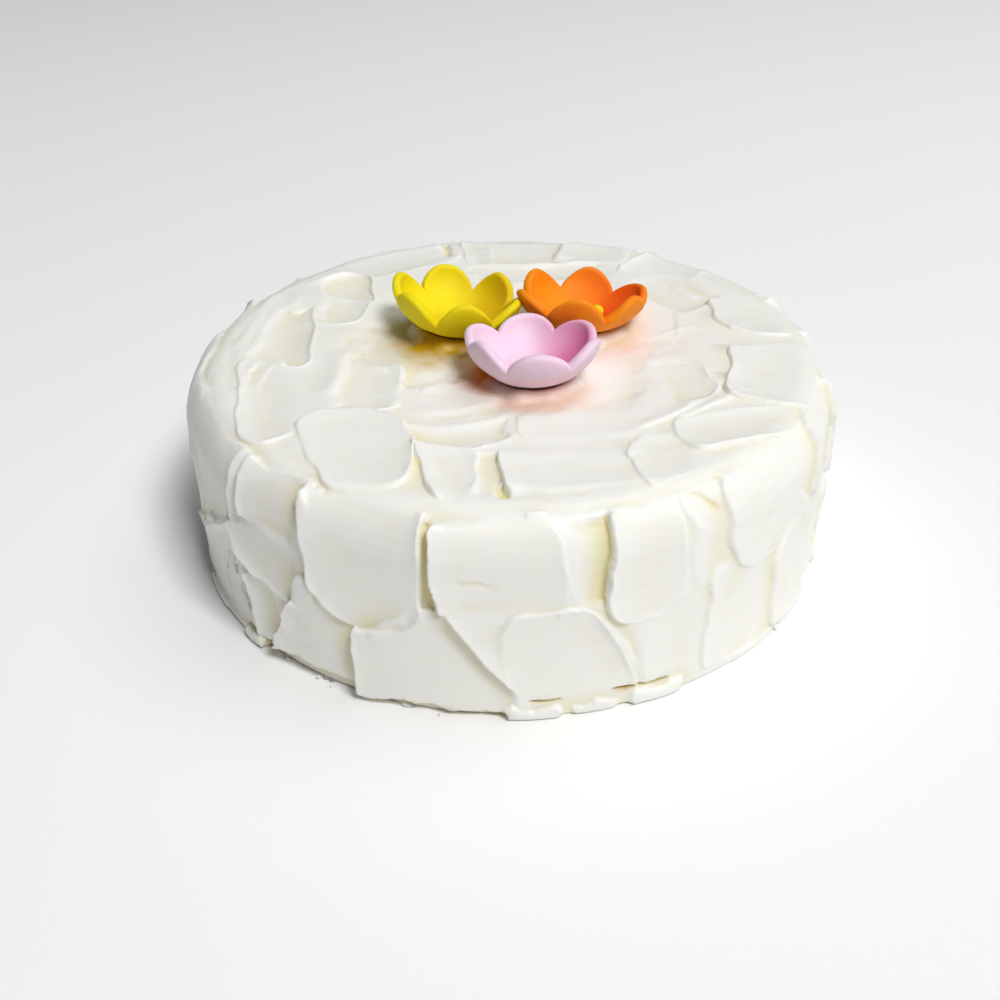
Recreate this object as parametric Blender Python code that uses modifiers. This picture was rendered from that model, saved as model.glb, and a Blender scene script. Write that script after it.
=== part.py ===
"""Vanilla layer cake, iced with a palette knife, with three sugar blossoms on top.

The cake is one solid. Its smooth form is a round drum with a soft rim, and the knife marks are
pressed into that form one after another, in the order in which they lie over each other. Each mark
is a named patch with real sizes in millimetres. The blossoms are cupped flowers of six petals.
The origin is the middle of the underside, +Z is up and the front of the cake faces -Y.
"""
import math
import random
from dataclasses import dataclass

import bmesh
import bpy
import numpy as np
from mathutils import Vector

# Sizes of the cake in millimetres
RADIUS = 89.0
HEIGHT = 56.0
RIM_START = 44.0
RIM_INSET = 10.5
FOOT_ROUND = 0.7
FOOT_ROUND_HIGH = 1.2
BASE_LEVEL = 0.4
SWELL = 0.35
SWELL_SPACING = 55.0
SWELL_FREE = 30.0

# How the knife marks look
EDGE_SOFT = 0.22
BROAD_WOBBLE = 0.032
LIP_OUTER = 0.25
LIP_RISE = 0.66
FADE_KEEPS_LIP = 4.0
DISH = 1.2
STREAK_SPACING = 2.2
STREAK_DRAW = 0.12
STREAK_SWING = 0.4
SWING_SPACING = 12.0

# How an edge wavers, from broad to fine
BROAD_SPACING = 26.0
RAGGED_SPACING = 9.0
FINE_SPACING = 2.6
FINE_SHARE = 0.35
CORNER_BLEND = 1.5
LIP_UNEVEN = 0.35
LIP_SPACING = 7.0

# How a thin fold wavers, and how far past its ends it runs out
FOLD_WAVER = 0.35
FOLD_SPACING = 6.0
FOLD_END = 2.5

# How far round a mark its edge is worked out, and how far the side's marks run over the top
REACH_SPARE = 6.0
SIDE_OVER_TOP = 12.0

# How finely the cake is sampled, and how many triangles stay
AROUND = 720
SIDE_STEP = 0.55
TOP_STEP = 0.7
CAKE_TRIANGLES = 9400
FLAT_BELOW = 0.15

# Sizes that the blossoms share, in millimetres and degrees
PETALS = 6
PETAL_STEPS = 8
PETAL_RINGS = (0.0, 0.35, 0.66, 0.88, 1.0)
CUP_START = 5.0
EDGE_BEVEL = 0.7
REST_GAP = 0.4
NEST_REACH = 11.2
NEST_FADE = 5.0
BEAD_RADIUS = 1.9
BEAD_ASIDE = 4.5

MM = 0.001


@dataclass
class Mark:
    """One knife mark: a soft-cornered patch, in millimetres.

    a, b      middle, on the side as arc from the front and height, on the top as x and y
    ha, hb    half size along and across the way the knife went
    turn      degrees from the a direction to the way the knife went
    corners   radii: start-left, end-left, end-right, start-right
    level     height of the middle over the smooth cake
    lean      rise towards the end, rise towards the left edge
    bowl      rise of the edges along and across
    lips      height of the pushed-up lip: start, left, end, right
    fade      width over which an edge runs out: start, left, end, right
    bend      how far the middle of the mark bows to the left
    lip_w     how far in from its edge a lip starts to rise
    quad      corners in the mark's own directions, where it isn't a plain box
    """

    a: float
    b: float
    ha: float
    hb: float
    turn: float = 0.0
    corners: tuple = (6, 6, 6, 6)
    level: float = 0.0
    lean: tuple = (0.0, 0.0)
    bowl: tuple = (0.6, 0.6)
    lips: tuple = (0.6, 0.3, 0.3, 0.3)
    fade: tuple = (0, 3, 5, 3)
    bend: float = 0.0
    lip_w: float = 1.1
    streak: float = 0.06
    ragged: float = 0.4
    quad: tuple = ()


def side(deg, z, ha, hb, **more):
    """A mark on the side: lips and fades are left, top, right, bottom."""
    return Mark(a=math.radians(deg + 90) * RADIUS, b=z, ha=ha, hb=hb, **more)


def top(x, y, ha, hb, turn, **more):
    """A mark on the top."""
    return Mark(a=x, b=y, ha=ha, hb=hb, turn=turn, **more)


def patch(outline, **more):
    """A four-sided mark, from its start-left, end-left, end-right and start-right points."""
    a = sum(point[0] for point in outline) / 4
    b = sum(point[1] for point in outline) / 4
    (ax, ay), (bx, by), (cx, cy), (dx, dy) = outline
    size = math.hypot(bx + cx - ax - dx, by + cy - ay - dy) / 2
    c = (bx + cx - ax - dx) / 2 / size
    s = (by + cy - ay - dy) / 2 / size
    quad = tuple(((p - a) * c + (q - b) * s, (q - b) * c - (p - a) * s) for p, q in outline)
    across = (quad[0][1] + quad[1][1] - quad[2][1] - quad[3][1]) / 4
    return Mark(a=a, b=b, ha=size / 2, hb=across, turn=math.degrees(math.atan2(s, c)), quad=quad,
                **more)


def side_patch(left_top, right_top, right_bottom, left_bottom, **more):
    """A four-sided mark on the side, its outline's points in degrees and height."""
    outline = (left_top, right_top, right_bottom, left_bottom)
    return patch([(math.radians(deg + 90) * RADIUS, z) for deg, z in outline], **more)


def hidden_side_marks():
    """The back, which no view shows: marks like those in front, placed by a seeded rule."""
    rng = random.Random(41)
    rows = []
    deg = -30.0
    while deg < 172:
        w = rng.uniform(14, 20)
        step = math.degrees(w * 1.7 / RADIUS)
        high = rng.uniform(14, 18)
        rows.append(side(deg + step / 2, 58 - high, w, high, turn=rng.uniform(-5, 5),
                         corners=(5, 9, 11, rng.uniform(4, 14)),
                         level=rng.uniform(-0.1, 0.6), lean=(-0.7, 0.1), bowl=(0.9, 0.4),
                         lips=(1.3, 0.3, 0.5, 0.4), fade=(0, 4, rng.choice((0, 7)), 3)))
        low = rng.uniform(11, 15)
        rows.append(side(deg + step * rng.uniform(0.2, 0.8), 3 + low, rng.uniform(14, 20), low,
                         turn=rng.uniform(-6, 6), corners=(10, 8, 3, 3),
                         level=rng.uniform(0, 0.6), lean=(-0.7, 0),
                         bowl=(0.8, 0.3), lips=(1.1, 0.4, 0.4, 0.3), fade=(0, 3, 6, 1)))
        deg += step
    rng.shuffle(rows)
    return rows


def left_side_marks():
    """The left of the cake, from the silhouette round to the front."""
    return [
        side(-178, 46, 24, 12, corners=(8, 8, 8, 8), level=1.0, bowl=(0.3, 0.6),
             lips=(0.3, 0.2, 0.3, 0.5), fade=(6, 4, 4, 2)),
        side(-180, 17, 26, 14, corners=(8, 8, 4, 4), level=0.1, bowl=(0.4, 0.4),
             lips=(0.4, 0.2, 0.4, 0.3), fade=(6, 4, 4, 1)),
        side_patch((-166, 18), (-140, 38), (-136, 1), (-168, 1), corners=(6, 5, 4, 5), level=0.3,
                   lean=(-0.2, 0.4), bowl=(0.6, 0.4), lips=(0.3, 0.9, 0.3, 0.3), fade=(6, 0, 2, 1)),
        side_patch((-172, 58), (-137, 58), (-142.5, 37), (-164, 15), corners=(8, 4, 6, 8), level=-0.1,
                   lean=(0.5, 0.3), bowl=(0.9, 0.6), lips=(0.3, 0.3, 0.6, 0.6), fade=(8, 4, 2, 1.5)),
        side_patch((-141.5, 58), (-136, 58), (-136.5, 39), (-140.5, 36), corners=(4, 3, 4, 4),
                   level=0.7, lean=(-0.5, 0), bowl=(0.2, 0.3), lips=(1.0, 0.3, 0.3, 0.5),
                   fade=(0, 4, 1, 1)),
        side_patch((-138.6, 58), (-122.5, 58), (-125, 38), (-137.4, 40), corners=(4, 4, 4, 3),
                   level=0.2, lean=(-0.9, 0.2), bowl=(0.9, 0.3), lips=(1.5, 0.5, 0.2, 0.3),
                   fade=(0, 3, 4, 3), ragged=0.5),
        side_patch((-143, 40), (-124.5, 41), (-126, 20.5), (-140.5, 26.5), corners=(7, 4, 4, 4),
                   level=0.5, lean=(-0.8, 0.1), bowl=(0.7, 0.5), lips=(1.2, 0.3, 0.3, 1.2),
                   fade=(0, 4, 3, 0), ragged=0.5),
        side_patch((-139.3, 25), (-132, 24), (-132, 1), (-137.5, 1), corners=(3, 3, 3, 3),
                   level=0.3, lean=(-0.7, 0.2), bowl=(0.3, 0.4), lips=(1.3, 0.3, 0.3, 0.3),
                   fade=(0, 2, 1, 1), ragged=0.5),
        side_patch((-127, 26), (-112, 32), (-112, 1), (-133.5, 1), corners=(4, 4, 2, 2), level=0.5,
                   lean=(-1.0, 0.2), bowl=(0.6, 0.4), lips=(1.4, 0.4, 0.2, 0.3), fade=(0, 3, 3, 0.7),
                   ragged=0.9),
        side_patch((-126, 33), (-122, 33), (-123, 23), (-127.5, 21.5), corners=(3, 3, 3, 3),
                   level=1.3, lean=(-0.3, 0.2), bowl=(-0.5, -0.4), lips=(0.5, 0.3, 0.3, 0.2),
                   fade=(0, 1, 1.5, 1.5), ragged=0.7),
    ]


def front_side_marks():
    """The front and right of the side, as far as the photograph shows it."""
    return [
        side_patch((-116.3, 24), (-96, 33), (-88, 1), (-115.5, 1), corners=(5, 4, 4, 2), level=0.6,
                   lean=(-0.9, 0), bowl=(0.6, 0.3), lips=(1.3, 0.6, 0.2, 0.3), fade=(0, 2, 4, 0.7),
                   ragged=0.35),
        side_patch((-125.5, 58), (-103.2, 58), (-104.5, 24.5), (-121, 19.5), corners=(6, 3, 7, 14),
                   level=0.3, lean=(-0.5, 0.1), bowl=(1.3, 0.3), lips=(1.4, 0.3, 1.3, 0.4),
                   fade=(0, 4, 0, 0.7), ragged=0.25),
        side_patch((-104, 55), (-101.5, 55), (-102, 31), (-104.3, 31), corners=(1, 1, 1, 1),
                   level=-1.0, bowl=(0, 0), lips=(0, 0, 0, 0), fade=(1.2, 8, 0.9, 4), ragged=0.2,
                   streak=0),
        side_patch((-101.5, 36), (-78, 36), (-76, 1), (-87.5, 1), corners=(4, 6, 4, 6), level=0.5,
                   lean=(-0.8, 0.2), bowl=(0.6, 0.3), lips=(1.3, 0.2, 0.3, 0.3), fade=(0, 4, 5, 0.7),
                   ragged=0.3),
        side_patch((-85, 57), (-75, 57), (-75, 31), (-81, 31), corners=(2, 2, 2, 2), level=-0.3,
                   lean=(-0.9, 0), bowl=(0.2, 0.2), lips=(0, 0.1, 0, 0.2), fade=(3, 7, 1, 4)),
        side_patch((-102.4, 57), (-84.3, 57.5), (-80.6, 31), (-101.8, 28), corners=(4, 9, 9, 5),
                   level=0.6, lean=(-0.6, 0.1), bowl=(1.0, 0.3), lips=(1.3, 0.3, 0.8, 0.15),
                   fade=(0, 4, 0.7, 6), ragged=0.25, streak=0.09),
        side_patch((-93, 31), (-79, 34.5), (-69, 1), (-91, 1), corners=(9, 8, 4, 3), level=0.5,
                   lean=(-0.4, 0.3), bowl=(0.7, 0.4), lips=(0.5, 0.6, 1.0, 0.3), fade=(2, 0, 0, 0.7),
                   ragged=0.3),
        side_patch((-73, 28), (-60, 30), (-60, 1), (-69.5, 1), corners=(4, 4, 4, 4), level=0.5,
                   lean=(-0.3, 0.1), bowl=(0.4, 0.2), lips=(0.4, 0.4, 0.2, 0.2), fade=(2, 2, 5, 1)),
        side_patch((-64, 58), (-55, 58), (-52, 30), (-61.5, 30), corners=(4, 4, 4, 4), level=0.5,
                   lean=(-0.3, 0.1), bowl=(0.5, 0.2), lips=(0.4, 0.2, 0.2, 0.2),
                   fade=(1.5, 4, 3, 3), ragged=0.5),
        side_patch((-76.4, 57), (-63.3, 56), (-64.3, 26), (-75.3, 26), corners=(3, 6, 7, 6),
                   level=0.7, lean=(-0.5, 0.1), bowl=(0.8, 0.3), lips=(1.4, 0.3, 0.7, 0.6),
                   fade=(0, 4, 0.8, 0.8), ragged=0.3),
        side_patch((-59.3, 37), (-47.5, 31), (-46, 2), (-59, 2), corners=(7, 6, 7, 5), level=0.5,
                   lean=(-0.5, 0.1), bowl=(0.6, 0.3), lips=(0.8, 0.4, 0.4, 0.2),
                   fade=(0.6, 2.5, 2, 1), ragged=0.5),
        side_patch((-57, 58), (-38, 59), (-36, 28), (-53, 28), corners=(4, 6, 9, 9), level=0.5,
                   lean=(-0.4, 0.1), bowl=(0.8, 0.3), lips=(0.7, 0.3, 0.3, 0.4),
                   fade=(0.7, 4, 8, 1.2), streak=0.16, ragged=0.5),
        side_patch((-44, 31), (-24, 38), (-20, 2), (-41, 2), corners=(8, 6, 4, 4), level=0.4,
                   lean=(-0.6, 0.1), bowl=(0.6, 0.3), lips=(0.9, 0.5, 0.4, 0.3), fade=(0, 3, 4, 1),
                   ragged=0.6),
    ]


def rim_marks():
    """A long smooth wipe round the rim."""
    rng = random.Random(7)
    return [
        side(deg + rng.uniform(-4, 4), 61.0 + rng.uniform(-0.8, 0.8), 26, 4.6,
             turn=rng.uniform(-1.5, 1.5), corners=(4, 4, 4, 4), level=0.1, bowl=(0, -0.1),
             lips=(0, 0.1, 0, 0.15), fade=(16, 3, 12, 2), ragged=0.6, streak=0.08)
        for deg in range(-180, 180, 24)
    ]


def foot_marks():
    """Icing squeezed out along the bottom edge, in slabs, flakes and ragged gaps."""
    return [
        side(-129, 1.8, 20, 1.9, corners=(1, 1, 1, 1), level=-1.3, bowl=(0, 0), lips=(0, 0, 0, 0),
             fade=(3, 0, 3, 0), ragged=0.5, streak=0),
        side(-104, 1.0, 20, 1.3, corners=(1, 1, 1, 1), level=-0.9, bowl=(0, 0), lips=(0, 0, 0, 0),
             fade=(2, 0, 2, 0), ragged=0.7, streak=0),
        side(-87.5, 1.2, 7.5, 2.1, corners=(2, 2, 1, 1), level=1.6, bowl=(-0.2, -0.2),
             lips=(0.3, 0.3, 0.3, 0), fade=(2, 0.6, 2.5, 0), ragged=0.9, streak=0),
        side(-67, 1.4, 7.5, 2.6, corners=(2, 2, 2, 1), level=1.6, bowl=(-0.3, -0.4),
             lips=(0.2, 0.2, 0.2, 0), fade=(1.5, 0.7, 3, 0), ragged=0.7, streak=0),
        side(-77.5, 1.2, 5.5, 1.8, corners=(1, 1, 1, 1), level=0.9, bowl=(-0.2, -0.2),
             lips=(0.2, 0.3, 0.2, 0), fade=(1, 0, 1, 0), ragged=0.8, streak=0),
        side(-139, 1.5, 3.5, 2.2, corners=(1, 1, 1, 1), level=1.6, bowl=(-0.3, -0.3),
             lips=(0.3, 0.3, 0.3, 0), fade=(0, 0.7, 0, 0), ragged=0.6, streak=0),
        side(-46, 1.2, 9, 1.9, corners=(1, 1, 1, 1), level=0.9, bowl=(-0.2, -0.2),
             lips=(0.2, 0.3, 0.2, 0), fade=(2, 0, 2, 0), ragged=0.8, streak=0),
        side(-70, 5.4, 7.5, 0.5, corners=(0.3, 0.3, 0.3, 0.3), level=-1.3, bowl=(0, 0),
             lips=(0, 0, 0, 0), fade=(3, 0.6, 3, 0.6), ragged=0.3, streak=0),
        side(-85.5, 5.2, 3.9, 0.4, corners=(0.3, 0.3, 0.3, 0.3), level=-1.1, bowl=(0, 0),
             lips=(0, 0, 0, 0), fade=(2, 0.6, 2, 0.6), ragged=0.3, streak=0),
    ]


def hidden_foot_marks():
    """The foot of the hidden back and sides, by the same kind of rule."""
    rng = random.Random(5)
    rows = []
    deg = -34.0
    while deg < 208:
        half = rng.uniform(4, 9)
        rows.append(side(deg, 1.2, half, rng.uniform(1.4, 2.6), corners=(1.5, 1.5, 1, 1),
                         level=rng.uniform(-0.8, 1.6), bowl=(-0.2, -0.2),
                         lips=(0.2, 0.3, 0.2, 0), fade=(1, 0, 1.5, 0), ragged=0.7, streak=0))
        deg += math.degrees(half * rng.uniform(1.5, 2.6) / RADIUS)
    return rows


def back_top_marks():
    """The far part of the top."""
    return [
        top(0, 0, 48, 48, 0, corners=(40, 40, 40, 40), level=-0.9, bowl=(0.3, 0.3),
            lips=(0, 0, 0, 0), fade=(14, 14, 14, 14), streak=0.03, ragged=1.5),
        top(-36, 63, 20, 10, 28, corners=(8, 6, 6, 8), level=0.2, bowl=(0.4, 0.6),
            lips=(0.1, 0.3, 0.7, 0.4), fade=(8, 3, 0, 3)),
        top(5, 72, 13, 19.5, 90, corners=(8, 6, 6, 8), level=-0.4, bowl=(0.5, 1.1),
            lips=(0.4, 1.1, 0.1, 0.9), fade=(4, 0, 3, 1)),
        top(28, 68, 9, 12, 75, corners=(5, 5, 5, 5), level=0.3, bowl=(0.4, 0.6),
            lips=(0.2, 0.5, 0.2, 0.5), fade=(4, 2, 3, 2)),
        top(52, 56, 16, 11, 48, level=0.3, bowl=(0.4, 0.8), lips=(0.2, 1.0, 0.2, 0.5),
            fade=(6, 0, 4, 3)),
        top(10, 52, 26, 8, 4, level=-0.3, bowl=(0.2, 0.5), lips=(0.1, 0.2, 0.1, 0.2),
            fade=(8, 3, 8, 4)),
    ]


def right_top_marks():
    """The right of the top."""
    return [
        top(50, 36, 15, 10, -60, level=-0.3, bowl=(0.4, 0.6), lips=(0.2, 0.5, 0.3, 0.3),
            fade=(6, 3, 3, 4)),
        patch(((60, 33), (81, 30), (81, 3), (60, 7)), corners=(6, 5, 6, 9), level=0.5,
              lean=(-0.4, -0.1), bowl=(0.6, 0.4), lips=(0.9, 0.2, 0.3, 0.9), fade=(0.6, 6, 4, 0.6)),
        top(44, 14, 12, 5, -94, corners=(5, 5, 5, 5), level=0.2, bowl=(0.2, -0.2),
            lips=(0.1, 0.3, 0.3, 0.3), fade=(4, 2, 3, 3)),
        patch(((60.5, -3), (84, 0), (79, -38), (56, -31)), corners=(6, 5, 12, 4), level=0.5,
              lean=(-0.4, -0.1), bowl=(0.8, 0.5), lips=(1.1, 0.4, 0.3, 0.8), fade=(0, 2, 4, 0.7)),
        patch(((33, -6), (52, -8), (55, -32), (37, -37)), corners=(8, 9, 10, 9), level=-0.2,
              lean=(0.2, 0), bowl=(0.9, 0.6), lips=(0.1, 0.3, 0.9, 0.4), fade=(9, 5, 0.9, 3)),
    ]


def left_top_marks():
    """The left of the top."""
    return [
        patch(((-58, 53), (-41, 55), (-40, 30), (-56, 35)), corners=(7, 9, 3, 5), level=-0.6,
              bowl=(0.5, 0.7), lips=(0.3, 0.7, 0.8, 0.2), fade=(2, 0.8, 0.8, 5)),
        patch(((-57, 42), (-42, 36), (-42.5, 16), (-56.5, 16)), corners=(4, 4, 6.5, 6.5), level=-0.3,
              bowl=(0.8, 0.5), lips=(0.3, 0.1, 0.5, 1.1), fade=(4, 9, 1.5, 0)),
        top(-70, 20, 22, 6, -98, corners=(5, 5, 5, 5), level=0.5, bowl=(0.2, 0.4),
            lips=(0.1, 0.1, 0.4, 0.3), fade=(8, 2, 3, 3)),
        patch(((-69, 31), (-56.5, 31), (-54, -13), (-73, -9)), corners=(6, 6, 9, 5), level=-0.4,
              bowl=(1.0, 0.2), lips=(0.4, 0.1, 0.9, 0.6), fade=(3, 12, 1.4, 1.2)),
        patch(((-46, -3), (-28, -6), (-27.5, -37), (-48, -37)), corners=(5, 6, 8, 6), level=0.0,
              lean=(0.3, 0.3), bowl=(0.9, 0.5), lips=(0.1, 0.1, 0.7, 0.8), fade=(6, 9, 1.5, 1.4),
              bend=1.0),
        patch(((-75, -5), (-58, -7), (-50, -46), (-65.5, -55)), corners=(10, 4, 10, 8), level=0.3,
              lean=(0.3, 0.1), bowl=(0.9, 0.6), lips=(1.0, 0.6, 0.1, 1.2), fade=(0.8, 1.4, 9, 0.6),
              ragged=0.2),
        patch(((-58, -36), (-26, -36), (-21.5, -74), (-43.5, -73)), corners=(11, 15, 11, 4),
              level=0.8, lean=(0.2, 0.4), bowl=(0.7, 0.8), lips=(0.6, 0.8, 1.2, 0.4),
              fade=(0.9, 0.9, 0, 2.5), ragged=0.3),
    ]


def front_top_marks():
    """The near part of the top, as far as the front rim."""
    return [
        top(-16, -28, 16, 10, 20, corners=(7, 7, 7, 7), level=0.0, bowl=(0.3, 0.4),
            lips=(0.2, 0.2, 0.2, 0.3), fade=(5, 5, 5, 4)),
        patch(((-29, -42), (3, -36), (2, -50), (-21, -58)), corners=(5, 4, 5, 7), level=-0.2,
              bowl=(0.3, 0.9), lips=(0.6, 0.6, 0.1, 0.8), fade=(2, 3, 10, 1.0), bend=-2.5),
        patch(((1, -36), (30, -34), (39, -52), (2, -52)), corners=(7, 7, 6, 5), level=0.5,
              lean=(-0.1, -0.2), bowl=(0.1, 0.2), lips=(0.7, 0.1, 0.3, 0.4), fade=(1.8, 9, 5, 3),
              ragged=0.3),
        patch(((-9.5, -57), (-2, -58), (-1.5, -78), (-9, -77)), corners=(2, 2, 2, 2), level=-0.2,
              bowl=(0.3, 0.3), lips=(0.1, 0.3, 0.1, 0.1), fade=(2, 2.5, 1.5, 3), ragged=0.9),
        patch(((-5, -71), (-1, -71), (-1, -78), (-4, -78)), corners=(1, 1, 1, 1), level=-1.1,
              bowl=(0, 0), lips=(0, 0, 0, 0), fade=(1.5, 4, 0.8, 2)),
        patch(((-25, -52), (-8, -56.5), (-8, -77), (-17.5, -80)), corners=(2, 4, 6, 8), level=0.5,
              lean=(-0.5, 0.2), bowl=(0.6, 0.4), lips=(1.3, 0.9, 0.7, 0.2), fade=(0, 1, 0.8, 4),
              ragged=0.5),
        patch(((26, -56), (37, -47), (48, -62), (32, -74)), corners=(4, 5, 6, 4), level=0.3,
              lean=(-0.2, 0.2), bowl=(0.4, 0.5), lips=(0.9, 0.6, 0.3, 0.4), fade=(0.6, 2, 3, 3),
              ragged=0.9),
        patch(((-3, -56.5), (27, -57.5), (31.5, -72), (-1.5, -78)), corners=(4, 6, 3, 4), level=0.6,
              lean=(-0.4, 0.1), bowl=(0.3, 0.6), lips=(1.2, 0.4, 0.6, 0.3), fade=(0, 3.5, 1.2, 5),
              ragged=0.4),
        patch(((39, -42), (73, -35), (73, -46), (43, -61)), corners=(4, 5, 8, 7), level=0.4,
              lean=(-0.3, -0.1), bowl=(0.3, 0.7), lips=(0.7, 0.6, 0.2, 0.9), fade=(0.7, 2, 5, 0.7),
              ragged=0.4),
    ]


def side_crests():
    """Thin folds on the side: from and to in degrees and height, rise, sharp and soft width, bow."""
    rows = []
    for from_deg, from_z, to_deg, to_z, high, sharp, soft, bow in (
        (-125, 57, -123.2, 52, 0.8, 0.5, 1.5, 0),
        (-113, 21, -107, 29, 0.6, 0.5, 2.2, 0.6),
        (-77, 29, -71, 12, 0.7, 0.6, 2.2, 0.5),
        (-99, 40.5, -92.5, 39.5, -0.35, 0.5, 0.9, 0.4),
        (-61.5, 56, -57, 50, -0.6, 0.6, 1.6, 0.5),
        (-63, 52, -60.5, 47, 0.5, 0.5, 1.2, -0.5),
        (-55.6, 58, -53.6, 55.5, -0.6, 0.6, 0.9, 0),
        (-36, 40, -26, 22, 0.8, 0.6, 2.5, 1),
        (-37, 20, -31, 2, 0.7, 0.6, 2.5, 0.5),
        (-160, 17, -140, 38, 0.7, 0.6, 2.0, 1),
        (-88.5, 57.5, -85, 57, 0.6, 0.8, 0.9, 0),
        (-84, 30.5, -80.5, 32.5, 0.4, 0.4, 1.2, 0.5),
    ):
        begin = (math.radians(from_deg + 90) * RADIUS, from_z)
        end = (math.radians(to_deg + 90) * RADIUS, to_z)
        rows.append((begin, end, high, sharp, soft, bow))
    return rows


def top_crests():
    """Thin folds on the top: from and to in x and y, rise, sharp and soft width, bow."""
    return [
        ((49, -33.5), (30.5, -48), 0.7, 0.5, 2.5, 1.0),
        ((58, -31), (41, -43), 0.6, 0.5, 2.2, 0.8),
        ((-20, 79), (-18, 67), -1.2, 1.0, 1.6, 0),
        ((-5, 76), (-4, 61), 0.7, 0.6, 2.5, 0),
        ((-68.5, -7), (-70.3, -27), 0.45, 0.5, 2.2, -1),
        ((-64, -9), (-66, -24), 0.3, 0.5, 1.8, -1),
        ((-45.5, -3), (-47, -27), 0.7, 1.4, 3.2, 0.8),
        ((-38, -10), (-33, -13), 0.4, 0.4, 1.5, 0.5),
        ((-23.5, -26), (-15, -15.5), 0.4, 0.4, 1.8, 0.5),
        ((-24, -12), (-10, -20), 0.4, 0.5, 2.0, 1),
        ((-14, -24), (-3, -30), 0.3, 0.5, 2.0, -1),
        ((57, 31), (50, 42), 0.5, 0.6, 2.4, 1),
        ((43, 6), (55, 10), 0.4, 0.5, 2.2, 1.5),
        ((-62, 46), (-50, 57), 0.5, 0.6, 3.0, 1),
    ]


def wave(a, b, size, seed, rows=5):
    """Smooth noise of that spacing, between about -1 and 1, from a few sine waves."""
    rng = random.Random(seed)
    total = np.zeros_like(a)
    for _ in range(rows):
        way = rng.uniform(0, math.pi)
        pace = 2 * math.pi / (size * rng.uniform(0.7, 1.5))
        shift = rng.uniform(0, 2 * math.pi)
        total += np.sin(pace * (a * math.cos(way) + b * math.sin(way)) + shift)
    return total / rows * 1.4


def wrapped(arc):
    """An arc difference brought into half a turn either way."""
    half = math.pi * RADIUS
    return (arc + half) % (2 * half) - half


def stamp(height, arc, rise, mark, wraps):
    """Presses one mark into the height field. Where wraps is set, arc goes round the cake."""
    reach = max(math.hypot(*corner) for corner in mark.quad or ((mark.ha, mark.hb),))
    reach += abs(mark.bend) + REACH_SPARE
    da = arc - mark.a
    if wraps:
        da = wrapped(da)
    near = np.nonzero((np.abs(da) < reach) & (np.abs(rise - mark.b) < reach))
    if not len(near[0]):
        return
    da = da[near]
    db = rise[near] - mark.b
    c = math.cos(math.radians(mark.turn))
    s = math.sin(math.radians(mark.turn))
    flat_u = da * c + db * s
    flat_v = db * c - da * s
    seed = int(1000 + mark.a * 13 + mark.b * 7)
    broad = BROAD_WOBBLE * (mark.ha + mark.hb)
    fine = FINE_SHARE * mark.ragged
    u = flat_u + broad * wave(flat_v, flat_u, BROAD_SPACING, seed + 3, 3)
    v = flat_v + broad * wave(flat_u, flat_v, BROAD_SPACING, seed + 4, 3)
    u += mark.ragged * wave(flat_v, flat_u, RAGGED_SPACING, seed)
    u += fine * wave(flat_v, flat_u, FINE_SPACING, seed + 2)
    v += mark.ragged * wave(flat_u, flat_v, RAGGED_SPACING, seed + 1)
    v += fine * wave(flat_u, flat_v, FINE_SPACING, seed + 6)
    if mark.quad:
        u, v = boxed(u, v, mark)
    v -= mark.bend * (1 - (u / mark.ha) ** 2)
    start_left, end_left, end_right, start_right = mark.corners
    radius = np.where(u > 0, np.where(v > 0, end_left, end_right),
                      np.where(v > 0, start_left, start_right)).astype(float)
    radius = np.minimum(radius, min(mark.ha, mark.hb))
    qu = np.abs(u) - mark.ha + radius
    qv = np.abs(v) - mark.hb + radius
    mu = np.maximum(qu, 0)
    mv = np.maximum(qv, 0)
    out = np.hypot(mu, mv)
    depth = np.minimum(np.maximum(qu, qv), 0) + out - radius
    inner = 1 / (1 + np.exp(np.clip((qv - qu) / CORNER_BLEND, -30, 30)))
    share = np.where(out > 1e-6, (mu / np.where(out > 1e-6, out, 1)) ** 2, inner)
    along = np.where(u < 0, mark.lips[0], mark.lips[2])
    across = np.where(v > 0, mark.lips[1], mark.lips[3])
    lip = LIP_RISE * (share * along + (1 - share) * across)
    lip *= 1 + LIP_UNEVEN * wave(flat_u, flat_v, LIP_SPACING, seed + 5)
    along = np.where(u < 0, mark.fade[0], mark.fade[2])
    across = np.where(v > 0, mark.fade[1], mark.fade[3])
    fade = np.maximum(share * along + (1 - share) * across, 2 * EDGE_SOFT)
    lip *= np.clip(1.1 - fade / FADE_KEEPS_LIP, 0.1, 1)
    shape = np.exp(-np.where(depth < 0, -depth / mark.lip_w, (depth / LIP_OUTER) ** 2))
    un = u / mark.ha
    vn = v / mark.hb
    surface = mark.level + mark.lean[0] * un + mark.lean[1] * vn
    surface += DISH * (mark.bowl[0] * (un ** 2 - 0.4) + mark.bowl[1] * (vn ** 2 - 0.4))
    swing = 1 - STREAK_SWING + STREAK_SWING * wave(flat_u, flat_v, SWING_SPACING, seed + 8)
    surface += mark.streak * swing * wave(u * STREAK_DRAW, v, STREAK_SPACING, seed + 7)
    cover = np.clip((EDGE_SOFT - depth) / fade, 0, 1)
    cover = cover * cover * (3 - 2 * cover)
    here = height[near]
    height[near] = here + cover * (surface - here) + lip * shape


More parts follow.
